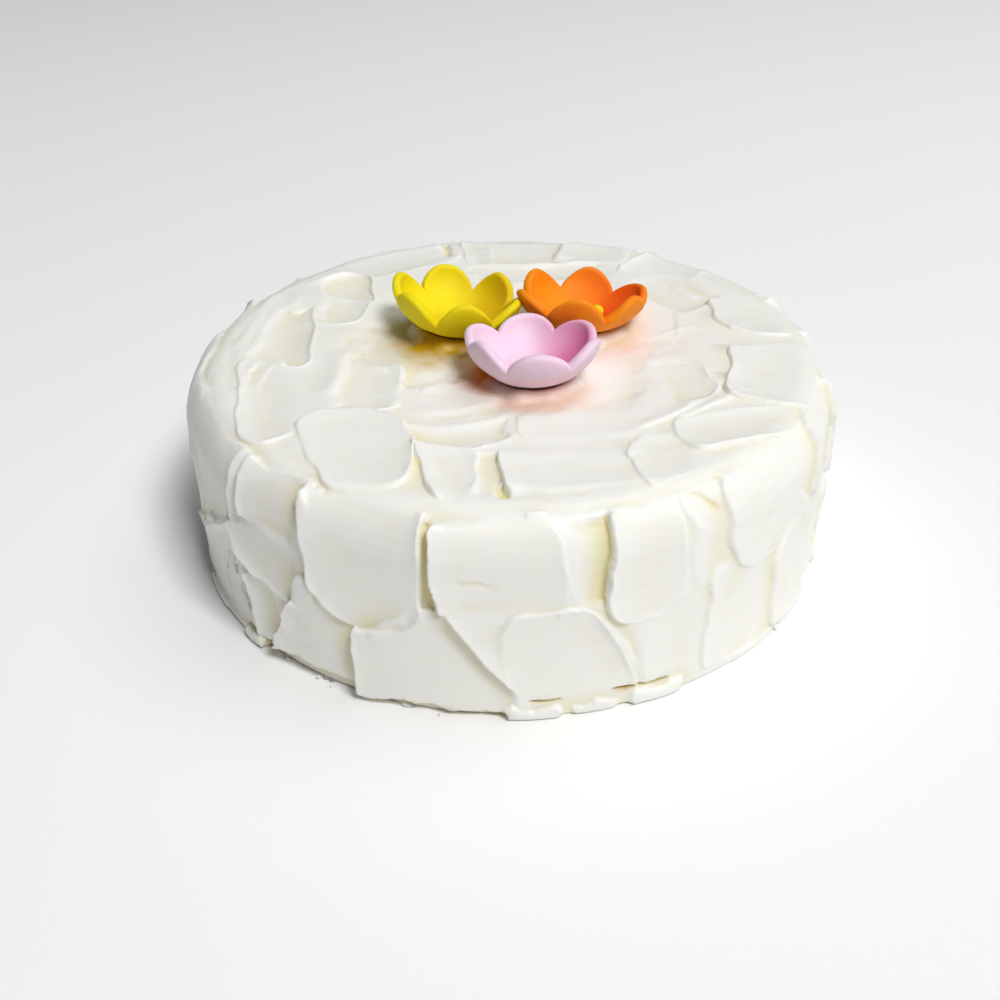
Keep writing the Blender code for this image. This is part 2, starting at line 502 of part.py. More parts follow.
def boxed(u, v, mark):
    """Brings the places in a four-sided mark to those in its box, by a few Newton steps."""
    (ax, ay), (bx, by), (cx, cy), (dx, dy) = mark.quad
    s = np.clip(u / mark.ha, -2, 2)
    t = np.clip(v / mark.hb, -2, 2)
    for _ in range(6):
        start = (1 - s) / 2
        end = (1 + s) / 2
        right = (1 - t) / 2
        left = (1 + t) / 2
        off_x = start * left * ax + end * left * bx + end * right * cx + start * right * dx - u
        off_y = start * left * ay + end * left * by + end * right * cy + start * right * dy - v
        xs = (left * (bx - ax) + right * (cx - dx)) / 2
        ys = (left * (by - ay) + right * (cy - dy)) / 2
        xt = (start * (ax - dx) + end * (bx - cx)) / 2
        yt = (start * (ay - dy) + end * (by - cy)) / 2
        area = xs * yt - xt * ys
        area = np.where(np.abs(area) < 1, 1, area)
        s = np.clip(s - (off_x * yt - off_y * xt) / area, -2, 2)
        t = np.clip(t - (off_y * xs - off_x * ys) / area, -2, 2)
    return s * mark.ha, t * mark.hb


def crest(height, arc, rise, begin, end, high, sharp, soft, bow):
    """A thin fold from one point to another, or with a negative rise a crease; sharp on its left."""
    length = math.hypot(end[0] - begin[0], end[1] - begin[1])
    cx = (end[0] - begin[0]) / length
    cy = (end[1] - begin[1]) / length
    u = (arc - begin[0]) * cx + (rise - begin[1]) * cy
    v = (rise - begin[1]) * cx - (arc - begin[0]) * cy
    t = np.clip(u / length, 0, 1)
    seed = int(900 + begin[0] * 3 + end[1])
    v = v - bow * 4 * t * (1 - t) + FOLD_WAVER * wave(arc, rise, FOLD_SPACING, seed, 3)
    past = np.maximum(np.maximum(-u, u - length), 0)
    ends = np.clip(1 - past / FOLD_END, 0, 1) * np.clip(np.minimum(t, 1 - t) * 5 + 0.25, 0, 1)
    height += high * np.exp(-(v / np.where(v > 0, sharp, soft)) ** 2) * ends


def rim_curve():
    """The rim's angle, radius, height and running length, as it turns from side to top."""
    angle = np.linspace(0, math.pi / 2, 160)
    r = RADIUS - RIM_INSET * (1 - np.cos(angle))
    z = RIM_START + (HEIGHT - RIM_START) * np.sin(angle)
    run = np.concatenate([[0], np.cumsum(np.hypot(np.diff(r), np.diff(z)))])
    return angle, r, z, run


def smooth_form(run):
    """Radius, height and outward direction of the smooth cake, at a running length up its side,
    over its rim and in across its top."""
    angle, rim_r, rim_z, rim_run = rim_curve()
    past = np.clip(run - RIM_START, 0, rim_run[-1])
    turned = np.interp(past, rim_run, angle)
    r = np.interp(past, rim_run, rim_r) - np.maximum(run - RIM_START - rim_run[-1], 0)
    z = np.where(run < RIM_START, run, np.interp(past, rim_run, rim_z))
    out_r = np.cos(turned) / RIM_INSET
    out_z = np.sin(turned) / (HEIGHT - RIM_START)
    size = np.hypot(out_r, out_z)
    return r, z, out_r / size, out_z / size


def knife_relief(angle, run):
    """Height of the knife work over the smooth cake, at an angle round it and a running length."""
    arc = angle_arc(angle)
    flat_start = RIM_START + rim_curve()[3][-1]
    chart_r = RADIUS - RIM_INSET + flat_start - run
    x = chart_r * np.cos(angle)
    y = chart_r * np.sin(angle)
    height = SWELL * wave(RADIUS * np.cos(angle) + 0.7 * run, RADIUS * np.sin(angle), SWELL_SPACING, 3)
    height = BASE_LEVEL + height * np.clip(chart_r / SWELL_FREE, 0, 1)
    on_side = run < flat_start + SIDE_OVER_TOP
    part = height[on_side]
    part_arc = arc[on_side]
    part_run = run[on_side]
    for mark in hidden_side_marks() + left_side_marks() + front_side_marks():
        stamp(part, part_arc, part_run, mark, True)
    for fold in side_crests():
        crest(part, part_arc, part_run, *fold)
    for mark in rim_marks() + hidden_foot_marks() + foot_marks():
        stamp(part, part_arc, part_run, mark, True)
    height[on_side] = part
    on_top = run > RIM_START
    part = height[on_top]
    part_x = x[on_top]
    part_y = y[on_top]
    for mark in back_top_marks() + right_top_marks() + left_top_marks() + front_top_marks():
        stamp(part, part_x, part_y, mark, False)
    for fold in top_crests():
        crest(part, part_x, part_y, *fold)
    for spot in BLOSSOMS:
        part = nest(part, part_x, part_y, spot)
    height[on_top] = part
    return height


def angle_arc(angle):
    """Arc on the side from the front, which faces -Y, in millimetres."""
    return wrapped((angle + math.pi / 2) * RADIUS)


def nest(height, x, y, spot):
    """Presses a blossom into the icing: under it the icing follows its underside, with a gap, and
    round it a low uneven collar is pushed up."""
    dx = x - spot.x
    dy = y - spot.y
    far = np.hypot(dx, dy)
    run, cup_r, cup_z = cup_curve(spot)
    slope = np.gradient(cup_z, run)
    under_r = cup_r + slope * spot.thick
    under_z = cup_z + spot.thick * (1 - np.sqrt(1 - slope ** 2))
    tilt = dy * math.sin(math.radians(spot.tip_x)) - dx * math.sin(math.radians(spot.tip_y))
    under = np.interp(far, under_r, under_z) + tilt
    near = far < NEST_REACH + REACH_SPARE
    lowest = under[near].min()
    under = under - lowest + spot.rest - HEIGHT
    reach = NEST_REACH + 0.7 * wave(x, y, 8.0, int(10 * spot.spin)) + 0.1 * wave(x, y, 3.0, 77)
    share = np.clip((reach + NEST_FADE / 2 - far) / NEST_FADE, 0, 1)
    share = share * share * (3 - 2 * share)
    free = np.where(near, np.minimum(height, under), height)
    return np.where(near, free + share * (under - free), height)
@dataclass
class Blossom:
    """One blossom, in millimetres and degrees: where it stands, how it tips and how it is cut.

    length    from the middle to the tip of a petal, along the petal
    notch     the same to the bottom of a notch, as a share of length
    roundness how full the petals are, from pointed at 2 to square at 0
    slope     how steep a petal is at its tip
    growth    how late a petal turns up
    """

    name: str
    x: float
    y: float
    rest: float
    spin: float
    tip_x: float
    tip_y: float
    length: float
    notch: float
    roundness: float
    slope: float
    growth: float
    thick: float
    colour: tuple


BLOSSOMS = (
    Blossom("yellow_blossom", -15.7, 12.0, 55.0, 41.5, -3.2, 7.0,
            22.1, 0.70, 0.74, 91, 1.75, 2.4, (0.80, 0.58, 0.01)),
    Blossom("orange_blossom", 20.7, 12.5, 55.0, 20.0, -7.2, 4.4,
            21.5, 0.74, 0.80, 84, 1.85, 2.4, (0.87, 0.19, 0.01)),
    Blossom("pink_blossom", 6.1, -19.0, 54.2, 35.0, -6.0, 0.2,
            21.6, 0.79, 0.80, 85, 1.50, 2.6, (0.86, 0.56, 0.72)),
)


def material(name, colour, roughness):
    """A plain Principled material."""
    made = bpy.data.materials.new(name)
    made.use_nodes = True
    shader = made.node_tree.nodes["Principled BSDF"]
    shader.inputs["Base Color"].default_value = (*colour, 1)
    shader.inputs["Roughness"].default_value = roughness
    shader.inputs["Metallic"].default_value = 0
    made.diffuse_color = (*colour, 1)
    return made


def turned(name, r, z, values, steps, group):
    """An object turned from a profile of radii and heights in millimetres. Each point keeps its
    value, by which its place on the profile is known afterwards."""
    mesh = bpy.data.meshes.new(name)
    points = [(float(a) * MM, 0.0, float(b) * MM) for a, b in zip(r, z)]
    mesh.from_pydata(points, [(i, i + 1) for i in range(len(points) - 1)], [])
    kept = mesh.attributes.new("value", "FLOAT", "POINT")
    kept.data.foreach_set("value", np.asarray(values, np.float32))
    made = bpy.data.objects.new(name, mesh)
    group.objects.link(made)
    screw = made.modifiers.new("turn", "SCREW")
    screw.steps = steps
    screw.render_steps = steps
    screw.use_merge_vertices = True
    screw.merge_threshold = 0.00001
    apply_modifiers(made)
    return made


def apply_modifiers(made):
    """Puts the evaluated mesh in the place of the object's own."""
    bpy.context.view_layer.update()
    graph = bpy.context.evaluated_depsgraph_get()
    result = bpy.data.meshes.new_from_object(made.evaluated_get(graph))
    made.modifiers.clear()
    old = made.data
    made.data = result
    bpy.data.meshes.remove(old)


def read_points(mesh):
    """The mesh's points in millimetres, and the value of each on its profile."""
    points = np.empty(len(mesh.vertices) * 3, np.float32)
    mesh.vertices.foreach_get("co", points)
    values = np.empty(len(mesh.vertices), np.float32)
    mesh.attributes["value"].data.foreach_get("value", values)
    return points.reshape(-1, 3).astype(float) / MM, values.astype(float)


def write_points(mesh, points):
    """Moves the mesh's points to these places in millimetres."""
    mesh.vertices.foreach_set("co", (points * MM).astype(np.float32).reshape(-1))
    mesh.update()


def build_cake(group):
    """The iced drum with its knife work and a flat underside."""
    flat_start = RIM_START + rim_curve()[3][-1]
    across = RADIUS - RIM_INSET
    top_rows = np.linspace(flat_start + across, flat_start, int(across / TOP_STEP))
    side_rows = np.linspace(flat_start, 0, int(flat_start / SIDE_STEP))
    run = np.concatenate([top_rows, side_rows[1:]])
    r, z, _, _ = smooth_form(run)
    underside = -1.0
    cake = turned("frosted_cake", np.append(r, 0), np.append(z, 0), np.append(run, underside),
                  AROUND, group)
    points, run = read_points(cake.data)
    iced = run >= 0
    angle = np.arctan2(points[iced, 1], points[iced, 0])
    run = run[iced]
    height = knife_relief(angle, run)
    r, z, out_r, out_z = smooth_form(run)
    r = r + height * out_r - FOOT_ROUND * np.clip(1 - run / FOOT_ROUND_HIGH, 0, 1) ** 2
    points[iced] = np.stack([r * np.cos(angle), r * np.sin(angle), z + height * out_z], -1)
    write_points(cake.data, points)
    cake.data.materials.append(material("icing", (0.87, 0.86, 0.78), 0.5))
    thin_out(cake, CAKE_TRIANGLES)
    return cake


def thin_out(made, triangles):
    """Leaves about that many triangles, most of them where the form turns, and a flat underside."""
    total = sum(len(face.vertices) - 2 for face in made.data.polygons)
    thin = made.modifiers.new("thin", "DECIMATE")
    thin.ratio = triangles / total
    apply_modifiers(made)
    for vertex in made.data.vertices:
        if vertex.co.z < FLAT_BELOW * MM:
            vertex.co.z = 0.0
    shape = bmesh.new()
    shape.from_mesh(made.data)
    bmesh.ops.triangulate(shape, faces=shape.faces)
    bmesh.ops.recalc_face_normals(shape, faces=shape.faces)
    shape.to_mesh(made.data)
    shape.free()


def cup_curve(spot):
    """Running length, radius and height of a petal's upper face, from the flower's middle."""
    run = np.linspace(0, spot.length, 200)
    slope = np.radians(CUP_START + (spot.slope - CUP_START) * (run / spot.length) ** spot.growth)
    step = np.diff(run)
    r = np.concatenate([[0], np.cumsum(np.cos(slope[:-1]) * step)])
    z = np.concatenate([[0], np.cumsum(np.sin(slope[:-1]) * step)])
    return run, r, z


def petal_reach(spot, angle):
    """Length of the petals, along the petal, at an angle round the flower."""
    half = math.pi / PETALS
    from_tip = (angle + half) % (2 * half) - half
    lobe = np.maximum(np.cos(PETALS / 2 * from_tip), 0) ** spot.roundness
    return spot.length * (spot.notch + (1 - spot.notch) * lobe)


def build_blossom(spot, group):
    """A cupped blossom: a turned cup pulled in to six petals, given its thickness and a soft edge."""
    run, cup_r, cup_z = cup_curve(spot)
    rings = np.array(PETAL_RINGS)[::-1]
    made = turned(spot.name, np.interp(rings * spot.length, run, cup_r),
                  np.interp(rings * spot.length, run, cup_z), rings, PETALS * PETAL_STEPS, group)
    points, share = read_points(made.data)
    angle = np.arctan2(points[:, 1], points[:, 0])
    at = share * petal_reach(spot, angle)
    r = np.interp(at, run, cup_r)
    z = np.interp(at, run, cup_z) + spot.thick
    write_points(made.data, np.stack([r * np.cos(angle), r * np.sin(angle), z], -1))
    made.data.materials.append(material(spot.name.replace("blossom", "sugar"), spot.colour, 0.55))
    made.data.shade_smooth()
    shell = made.modifiers.new("thickness", "SOLIDIFY")
    shell.thickness = spot.thick * MM
    shell.offset = 1
    shell.use_even_offset = False
    soft = made.modifiers.new("soft edge", "BEVEL")
    soft.width = EDGE_BEVEL * MM
    soft.segments = 1
    soft.limit_method = "ANGLE"
    soft.angle_limit = math.radians(50)
    made.rotation_mode = "ZXY"
    made.rotation_euler = [math.radians(a) for a in (spot.tip_x, spot.tip_y, spot.spin)]
    made.location = (spot.x * MM, spot.y * MM, 0)
    bpy.context.view_layer.update()
    graph = bpy.context.evaluated_depsgraph_get()
    solid = made.evaluated_get(graph)
    lowest = min((made.matrix_world @ vertex.co).z for vertex in solid.data.vertices)
    made.location.z = (spot.rest + REST_GAP) * MM - lowest
    return made


def build_bead(blossom, spot, group):
    """The small yellow ball in the middle of a blossom."""
    ball = bmesh.new()
    bmesh.ops.create_icosphere(ball, subdivisions=2, radius=BEAD_RADIUS * MM)
    mesh = bpy.data.meshes.new(spot.name + "_bead")
    ball.to_mesh(mesh)
    ball.free()
    mesh.materials.append(material("yellow_bead", (0.80, 0.60, 0.02), 0.5))
    mesh.shade_smooth()
    made = bpy.data.objects.new(spot.name + "_bead", mesh)
    group.objects.link(made)
    bpy.context.view_layer.update()
    run, cup_r, cup_z = cup_curve(spot)
    over = spot.thick + BEAD_RADIUS + REST_GAP + np.interp(BEAD_ASIDE, cup_r, cup_z)
    way = -math.radians(spot.spin)
    middle = Vector((BEAD_ASIDE * math.cos(way), BEAD_ASIDE * math.sin(way), over))
    made.location = blossom.matrix_world @ (middle * MM)
    return made


def main():
    """Clears the scene and builds the cake and its blossoms."""
    for old in list(bpy.data.objects):
        bpy.data.objects.remove(old)
    group = bpy.data.collections.new("vanilla_layer_cake")
    bpy.context.scene.collection.children.link(group)
    build_cake(group)
    for spot in BLOSSOMS:
        blossom = build_blossom(spot, group)
        if spot.name == "orange_blossom":
            build_bead(blossom, spot, group)


main()
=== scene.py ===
"""Vanilla layer cake, iced with a palette knife, with three sugar blossoms on top.

The icing is a drum whose surface is worked by knife marks, one pressed over another. The same
marks shape the solid part, here on a finer grid. Sizes are in millimetres until a mesh is made.
"""
import logging
import math
import random
from dataclasses import dataclass
from enum import Enum

import bmesh
import bpy
import numpy as np
from mathutils import Euler, Matrix, Vector


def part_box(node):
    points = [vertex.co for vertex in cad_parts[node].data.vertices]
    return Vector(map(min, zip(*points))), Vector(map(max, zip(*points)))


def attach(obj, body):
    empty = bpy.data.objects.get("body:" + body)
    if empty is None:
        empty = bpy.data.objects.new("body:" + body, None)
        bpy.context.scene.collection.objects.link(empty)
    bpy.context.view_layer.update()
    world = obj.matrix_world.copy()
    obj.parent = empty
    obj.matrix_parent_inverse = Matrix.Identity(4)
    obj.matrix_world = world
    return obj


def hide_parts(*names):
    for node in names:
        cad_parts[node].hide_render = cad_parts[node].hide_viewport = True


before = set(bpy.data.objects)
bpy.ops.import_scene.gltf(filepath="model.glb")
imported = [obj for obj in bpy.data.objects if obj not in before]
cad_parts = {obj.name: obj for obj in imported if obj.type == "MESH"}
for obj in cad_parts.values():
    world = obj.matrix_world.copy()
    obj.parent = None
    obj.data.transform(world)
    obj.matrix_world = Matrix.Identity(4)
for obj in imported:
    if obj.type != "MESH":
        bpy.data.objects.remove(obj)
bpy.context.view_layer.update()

log = logging.getLogger("cake")

MM = 0.001

# Sizes of the cake
RADIUS = 89.0
HEIGHT = 56.0
RIM_START = 44.0
RIM_INSET = 10.5
FOOT_ROUND = 0.7
FOOT_ROUND_HIGH = 1.2
BASE_LEVEL = 0.4
SWELL = 0.35
SWELL_SPACING = 55.0
SWELL_FREE = 30.0

# How the knife marks look
EDGE_SOFT = 0.22
BROAD_WOBBLE = 0.032
LIP_OUTER = 0.25
LIP_RISE = 0.66
FADE_KEEPS_LIP = 4.0
DISH = 1.2
STREAK_SPACING = 2.2
STREAK_DRAW = 0.12
STREAK_SWING = 0.4
SWING_SPACING = 12.0

# How an edge wavers, from broad to fine
BROAD_SPACING = 26.0
RAGGED_SPACING = 9.0
FINE_SPACING = 2.6
FINE_SHARE = 0.35
CORNER_BLEND = 1.5
LIP_UNEVEN = 0.35
LIP_SPACING = 7.0

# How a thin fold wavers, and how far past its ends it runs out
FOLD_WAVER = 0.35
FOLD_SPACING = 6.0
FOLD_END = 2.5

# How far round a mark its edge is worked out, and how far the side's marks run over the top
REACH_SPARE = 6.0
SIDE_OVER_TOP = 12.0

# How far out a blossom is pressed into the icing
NEST_REACH = 11.2
NEST_FADE = 5.0

# How finely the icing is sampled, and the most triangles that its mesh keeps
AROUND = 1350
SIDE_STEP = 0.30
TOP_STEP = 0.40
MOST_TRIANGLES = 190000


@dataclass(frozen=True)
class Mark:
    """One knife mark: a soft-cornered patch.

    a, b      middle, on the side as arc from the front and height, on the top as x and y
    ha, hb    half size along and across the way the knife went
    turn      degrees from the a direction to the way the knife went
    corners   radii: start-left, end-left, end-right, start-right
    level     height of the middle over the smooth cake
    lean      rise towards the end, rise towards the left edge
    bowl      rise of the edges along and across
    lips      height of the pushed-up lip: start, left, end, right
    fade      width over which an edge runs out: start, left, end, right
    bend      how far the middle of the mark bows to the left
    lip_w     how far in from its edge a lip starts to rise
    quad      corners in the mark's own directions, where it isn't a plain box
    """

    a: float
    b: float
    ha: float
    hb: float
    turn: float = 0.0
    corners: tuple = (6, 6, 6, 6)
    level: float = 0.0
    lean: tuple = (0.0, 0.0)
    bowl: tuple = (0.6, 0.6)
    lips: tuple = (0.6, 0.3, 0.3, 0.3)
    fade: tuple = (0, 3, 5, 3)
    bend: float = 0.0
    lip_w: float = 1.1
    streak: float = 0.06
    ragged: float = 0.4
    quad: tuple = ()


def side(deg: float, z: float, ha: float, hb: float, **more) -> Mark:
    """A mark on the side: lips and fades are left, top, right, bottom.

    Args:
        deg: Its middle's angle round the cake, with the front at -90.
        z: Its middle's height.
        ha: Half size to the right.
        hb: Half size upwards.
        **more: Other fields of the mark.

    Returns:
        The mark.
    """
    return Mark(a=math.radians(deg + 90) * RADIUS, b=z, ha=ha, hb=hb, **more)


def top(x: float, y: float, ha: float, hb: float, turn: float, **more) -> Mark:
    """A mark on the top.

    Args:
        x: Its middle's place to the right.
        y: Its middle's place to the back.
        ha: Half size the way the knife went.
        hb: Half size across.
        turn: Degrees from the right to the way the knife went.
        **more: Other fields of the mark.

    Returns:
        The mark.
    """
    return Mark(a=x, b=y, ha=ha, hb=hb, turn=turn, **more)


def patch(outline: list, **more) -> Mark:
    """A four-sided mark.

    Args:
        outline: Its start-left, end-left, end-right and start-right points.
        **more: Other fields of the mark.

    Returns:
        The mark.
    """
    a = sum(point[0] for point in outline) / 4
    b = sum(point[1] for point in outline) / 4
    (ax, ay), (bx, by), (cx, cy), (dx, dy) = outline
    size = math.hypot(bx + cx - ax - dx, by + cy - ay - dy) / 2
    c = (bx + cx - ax - dx) / 2 / size
    s = (by + cy - ay - dy) / 2 / size
    quad = tuple(((p - a) * c + (q - b) * s, (q - b) * c - (p - a) * s) for p, q in outline)
    across = (quad[0][1] + quad[1][1] - quad[2][1] - quad[3][1]) / 4
    return Mark(a=a, b=b, ha=size / 2, hb=across, turn=math.degrees(math.atan2(s, c)), quad=quad,
                **more)


def side_patch(left_top: tuple, right_top: tuple, right_bottom: tuple, left_bottom: tuple,
               **more) -> Mark:
    """A four-sided mark on the side.

    Args:
        left_top: A point of its outline, in degrees and height.
        right_top: The same.
        right_bottom: The same.
        left_bottom: The same.
        **more: Other fields of the mark.

    Returns:
        The mark.
    """
    outline = (left_top, right_top, right_bottom, left_bottom)
    return patch([(math.radians(deg + 90) * RADIUS, z) for deg, z in outline], **more)


def hidden_side_marks() -> list[Mark]:
    """The back, which no view shows: marks like those in front, placed by a seeded rule.

    Returns:
        The marks, the first pressed first.
    """
    rng = random.Random(41)
    rows = []
    deg = -30.0
    while deg < 172:
        w = rng.uniform(14, 20)
        step = math.degrees(w * 1.7 / RADIUS)
        high = rng.uniform(14, 18)
        rows.append(side(deg + step / 2, 58 - high, w, high, turn=rng.uniform(-5, 5),
                         corners=(5, 9, 11, rng.uniform(4, 14)),
                         level=rng.uniform(-0.1, 0.6), lean=(-0.7, 0.1), bowl=(0.9, 0.4),
                         lips=(1.3, 0.3, 0.5, 0.4), fade=(0, 4, rng.choice((0, 7)), 3)))
        low = rng.uniform(11, 15)
        rows.append(side(deg + step * rng.uniform(0.2, 0.8), 3 + low, rng.uniform(14, 20), low,
                         turn=rng.uniform(-6, 6), corners=(10, 8, 3, 3),
                         level=rng.uniform(0, 0.6), lean=(-0.7, 0),
                         bowl=(0.8, 0.3), lips=(1.1, 0.4, 0.4, 0.3), fade=(0, 3, 6, 1)))
        deg += step
    rng.shuffle(rows)
    return rows


def left_side_marks() -> list[Mark]:
    """The left of the cake, from the silhouette round to the front.

    Returns:
        The marks, the first pressed first.
    """
    return [
        side(-178, 46, 24, 12, corners=(8, 8, 8, 8), level=1.0, bowl=(0.3, 0.6),
             lips=(0.3, 0.2, 0.3, 0.5), fade=(6, 4, 4, 2)),
        side(-180, 17, 26, 14, corners=(8, 8, 4, 4), level=0.1, bowl=(0.4, 0.4),
             lips=(0.4, 0.2, 0.4, 0.3), fade=(6, 4, 4, 1)),
        side_patch((-166, 18), (-140, 38), (-136, 1), (-168, 1), corners=(6, 5, 4, 5), level=0.3,
                   lean=(-0.2, 0.4), bowl=(0.6, 0.4), lips=(0.3, 0.9, 0.3, 0.3), fade=(6, 0, 2, 1)),
        side_patch((-172, 58), (-137, 58), (-142.5, 37), (-164, 15), corners=(8, 4, 6, 8), level=-0.1,
                   lean=(0.5, 0.3), bowl=(0.9, 0.6), lips=(0.3, 0.3, 0.6, 0.6), fade=(8, 4, 2, 1.5)),
        side_patch((-141.5, 58), (-136, 58), (-136.5, 39), (-140.5, 36), corners=(4, 3, 4, 4),
                   level=0.7, lean=(-0.5, 0), bowl=(0.2, 0.3), lips=(1.0, 0.3, 0.3, 0.5),
                   fade=(0, 4, 1, 1)),
        side_patch((-138.6, 58), (-122.5, 58), (-125, 38), (-137.4, 40), corners=(4, 4, 4, 3),
                   level=0.2, lean=(-0.9, 0.2), bowl=(0.9, 0.3), lips=(1.5, 0.5, 0.2, 0.3),
                   fade=(0, 3, 4, 3), ragged=0.5),
        side_patch((-143, 40), (-124.5, 41), (-126, 20.5), (-140.5, 26.5), corners=(7, 4, 4, 4),
                   level=0.5, lean=(-0.8, 0.1), bowl=(0.7, 0.5), lips=(1.2, 0.3, 0.3, 1.2),
                   fade=(0, 4, 3, 0), ragged=0.5),
        side_patch((-139.3, 25), (-132, 24), (-132, 1), (-137.5, 1), corners=(3, 3, 3, 3),
                   level=0.3, lean=(-0.7, 0.2), bowl=(0.3, 0.4), lips=(1.3, 0.3, 0.3, 0.3),
                   fade=(0, 2, 1, 1), ragged=0.5),
        side_patch((-127, 26), (-112, 32), (-112, 1), (-133.5, 1), corners=(4, 4, 2, 2), level=0.5,
                   lean=(-1.0, 0.2), bowl=(0.6, 0.4), lips=(1.4, 0.4, 0.2, 0.3), fade=(0, 3, 3, 0.7),
                   ragged=0.9),
        side_patch((-126, 33), (-122, 33), (-123, 23), (-127.5, 21.5), corners=(3, 3, 3, 3),
                   level=1.3, lean=(-0.3, 0.2), bowl=(-0.5, -0.4), lips=(0.5, 0.3, 0.3, 0.2),
                   fade=(0, 1, 1.5, 1.5), ragged=0.7),
    ]


def front_side_marks() -> list[Mark]:
    """The front and right of the side, as far as the photograph shows it.

    Returns:
        The marks, the first pressed first.
    """
    return [
        side_patch((-116.3, 24), (-96, 33), (-88, 1), (-115.5, 1), corners=(5, 4, 4, 2), level=0.6,
                   lean=(-0.9, 0), bowl=(0.6, 0.3), lips=(1.3, 0.6, 0.2, 0.3), fade=(0, 2, 4, 0.7),
                   ragged=0.35),
        side_patch((-125.5, 58), (-103.2, 58), (-104.5, 24.5), (-121, 19.5), corners=(6, 3, 7, 14),
                   level=0.3, lean=(-0.5, 0.1), bowl=(1.3, 0.3), lips=(1.4, 0.3, 1.3, 0.4),
                   fade=(0, 4, 0, 0.7), ragged=0.25),
        side_patch((-104, 55), (-101.5, 55), (-102, 31), (-104.3, 31), corners=(1, 1, 1, 1),
                   level=-1.0, bowl=(0, 0), lips=(0, 0, 0, 0), fade=(1.2, 8, 0.9, 4), ragged=0.2,
                   streak=0),
        side_patch((-101.5, 36), (-78, 36), (-76, 1), (-87.5, 1), corners=(4, 6, 4, 6), level=0.5,
                   lean=(-0.8, 0.2), bowl=(0.6, 0.3), lips=(1.3, 0.2, 0.3, 0.3), fade=(0, 4, 5, 0.7),
                   ragged=0.3),
        side_patch((-85, 57), (-75, 57), (-75, 31), (-81, 31), corners=(2, 2, 2, 2), level=-0.3,
                   lean=(-0.9, 0), bowl=(0.2, 0.2), lips=(0, 0.1, 0, 0.2), fade=(3, 7, 1, 4)),
        side_patch((-102.4, 57), (-84.3, 57.5), (-80.6, 31), (-101.8, 28), corners=(4, 9, 9, 5),
                   level=0.6, lean=(-0.6, 0.1), bowl=(1.0, 0.3), lips=(1.3, 0.3, 0.8, 0.15),
                   fade=(0, 4, 0.7, 6), ragged=0.25, streak=0.09),
        side_patch((-93, 31), (-79, 34.5), (-69, 1), (-91, 1), corners=(9, 8, 4, 3), level=0.5,
                   lean=(-0.4, 0.3), bowl=(0.7, 0.4), lips=(0.5, 0.6, 1.0, 0.3), fade=(2, 0, 0, 0.7),
                   ragged=0.3),
        side_patch((-73, 28), (-60, 30), (-60, 1), (-69.5, 1), corners=(4, 4, 4, 4), level=0.5,
                   lean=(-0.3, 0.1), bowl=(0.4, 0.2), lips=(0.4, 0.4, 0.2, 0.2), fade=(2, 2, 5, 1)),
        side_patch((-64, 58), (-55, 58), (-52, 30), (-61.5, 30), corners=(4, 4, 4, 4), level=0.5,
                   lean=(-0.3, 0.1), bowl=(0.5, 0.2), lips=(0.4, 0.2, 0.2, 0.2),
                   fade=(1.5, 4, 3, 3), ragged=0.5),
        side_patch((-76.4, 57), (-63.3, 56), (-64.3, 26), (-75.3, 26), corners=(3, 6, 7, 6),
                   level=0.7, lean=(-0.5, 0.1), bowl=(0.8, 0.3), lips=(1.4, 0.3, 0.7, 0.6),
                   fade=(0, 4, 0.8, 0.8), ragged=0.3),
        side_patch((-59.3, 37), (-47.5, 31), (-46, 2), (-59, 2), corners=(7, 6, 7, 5), level=0.5,
                   lean=(-0.5, 0.1), bowl=(0.6, 0.3), lips=(0.8, 0.4, 0.4, 0.2),
                   fade=(0.6, 2.5, 2, 1), ragged=0.5),
        side_patch((-57, 58), (-38, 59), (-36, 28), (-53, 28), corners=(4, 6, 9, 9), level=0.5,
                   lean=(-0.4, 0.1), bowl=(0.8, 0.3), lips=(0.7, 0.3, 0.3, 0.4),
                   fade=(0.7, 4, 8, 1.2), streak=0.16, ragged=0.5),
        side_patch((-44, 31), (-24, 38), (-20, 2), (-41, 2), corners=(8, 6, 4, 4), level=0.4,
                   lean=(-0.6, 0.1), bowl=(0.6, 0.3), lips=(0.9, 0.5, 0.4, 0.3), fade=(0, 3, 4, 1),
                   ragged=0.6),
    ]


def rim_marks() -> list[Mark]:
    """A long smooth wipe round the rim.

    Returns:
        The marks, the first pressed first.
    """
    rng = random.Random(7)
    return [
        side(deg + rng.uniform(-4, 4), 61.0 + rng.uniform(-0.8, 0.8), 26, 4.6,
             turn=rng.uniform(-1.5, 1.5), corners=(4, 4, 4, 4), level=0.1, bowl=(0, -0.1),
             lips=(0, 0.1, 0, 0.15), fade=(16, 3, 12, 2), ragged=0.6, streak=0.08)
        for deg in range(-180, 180, 24)
    ]


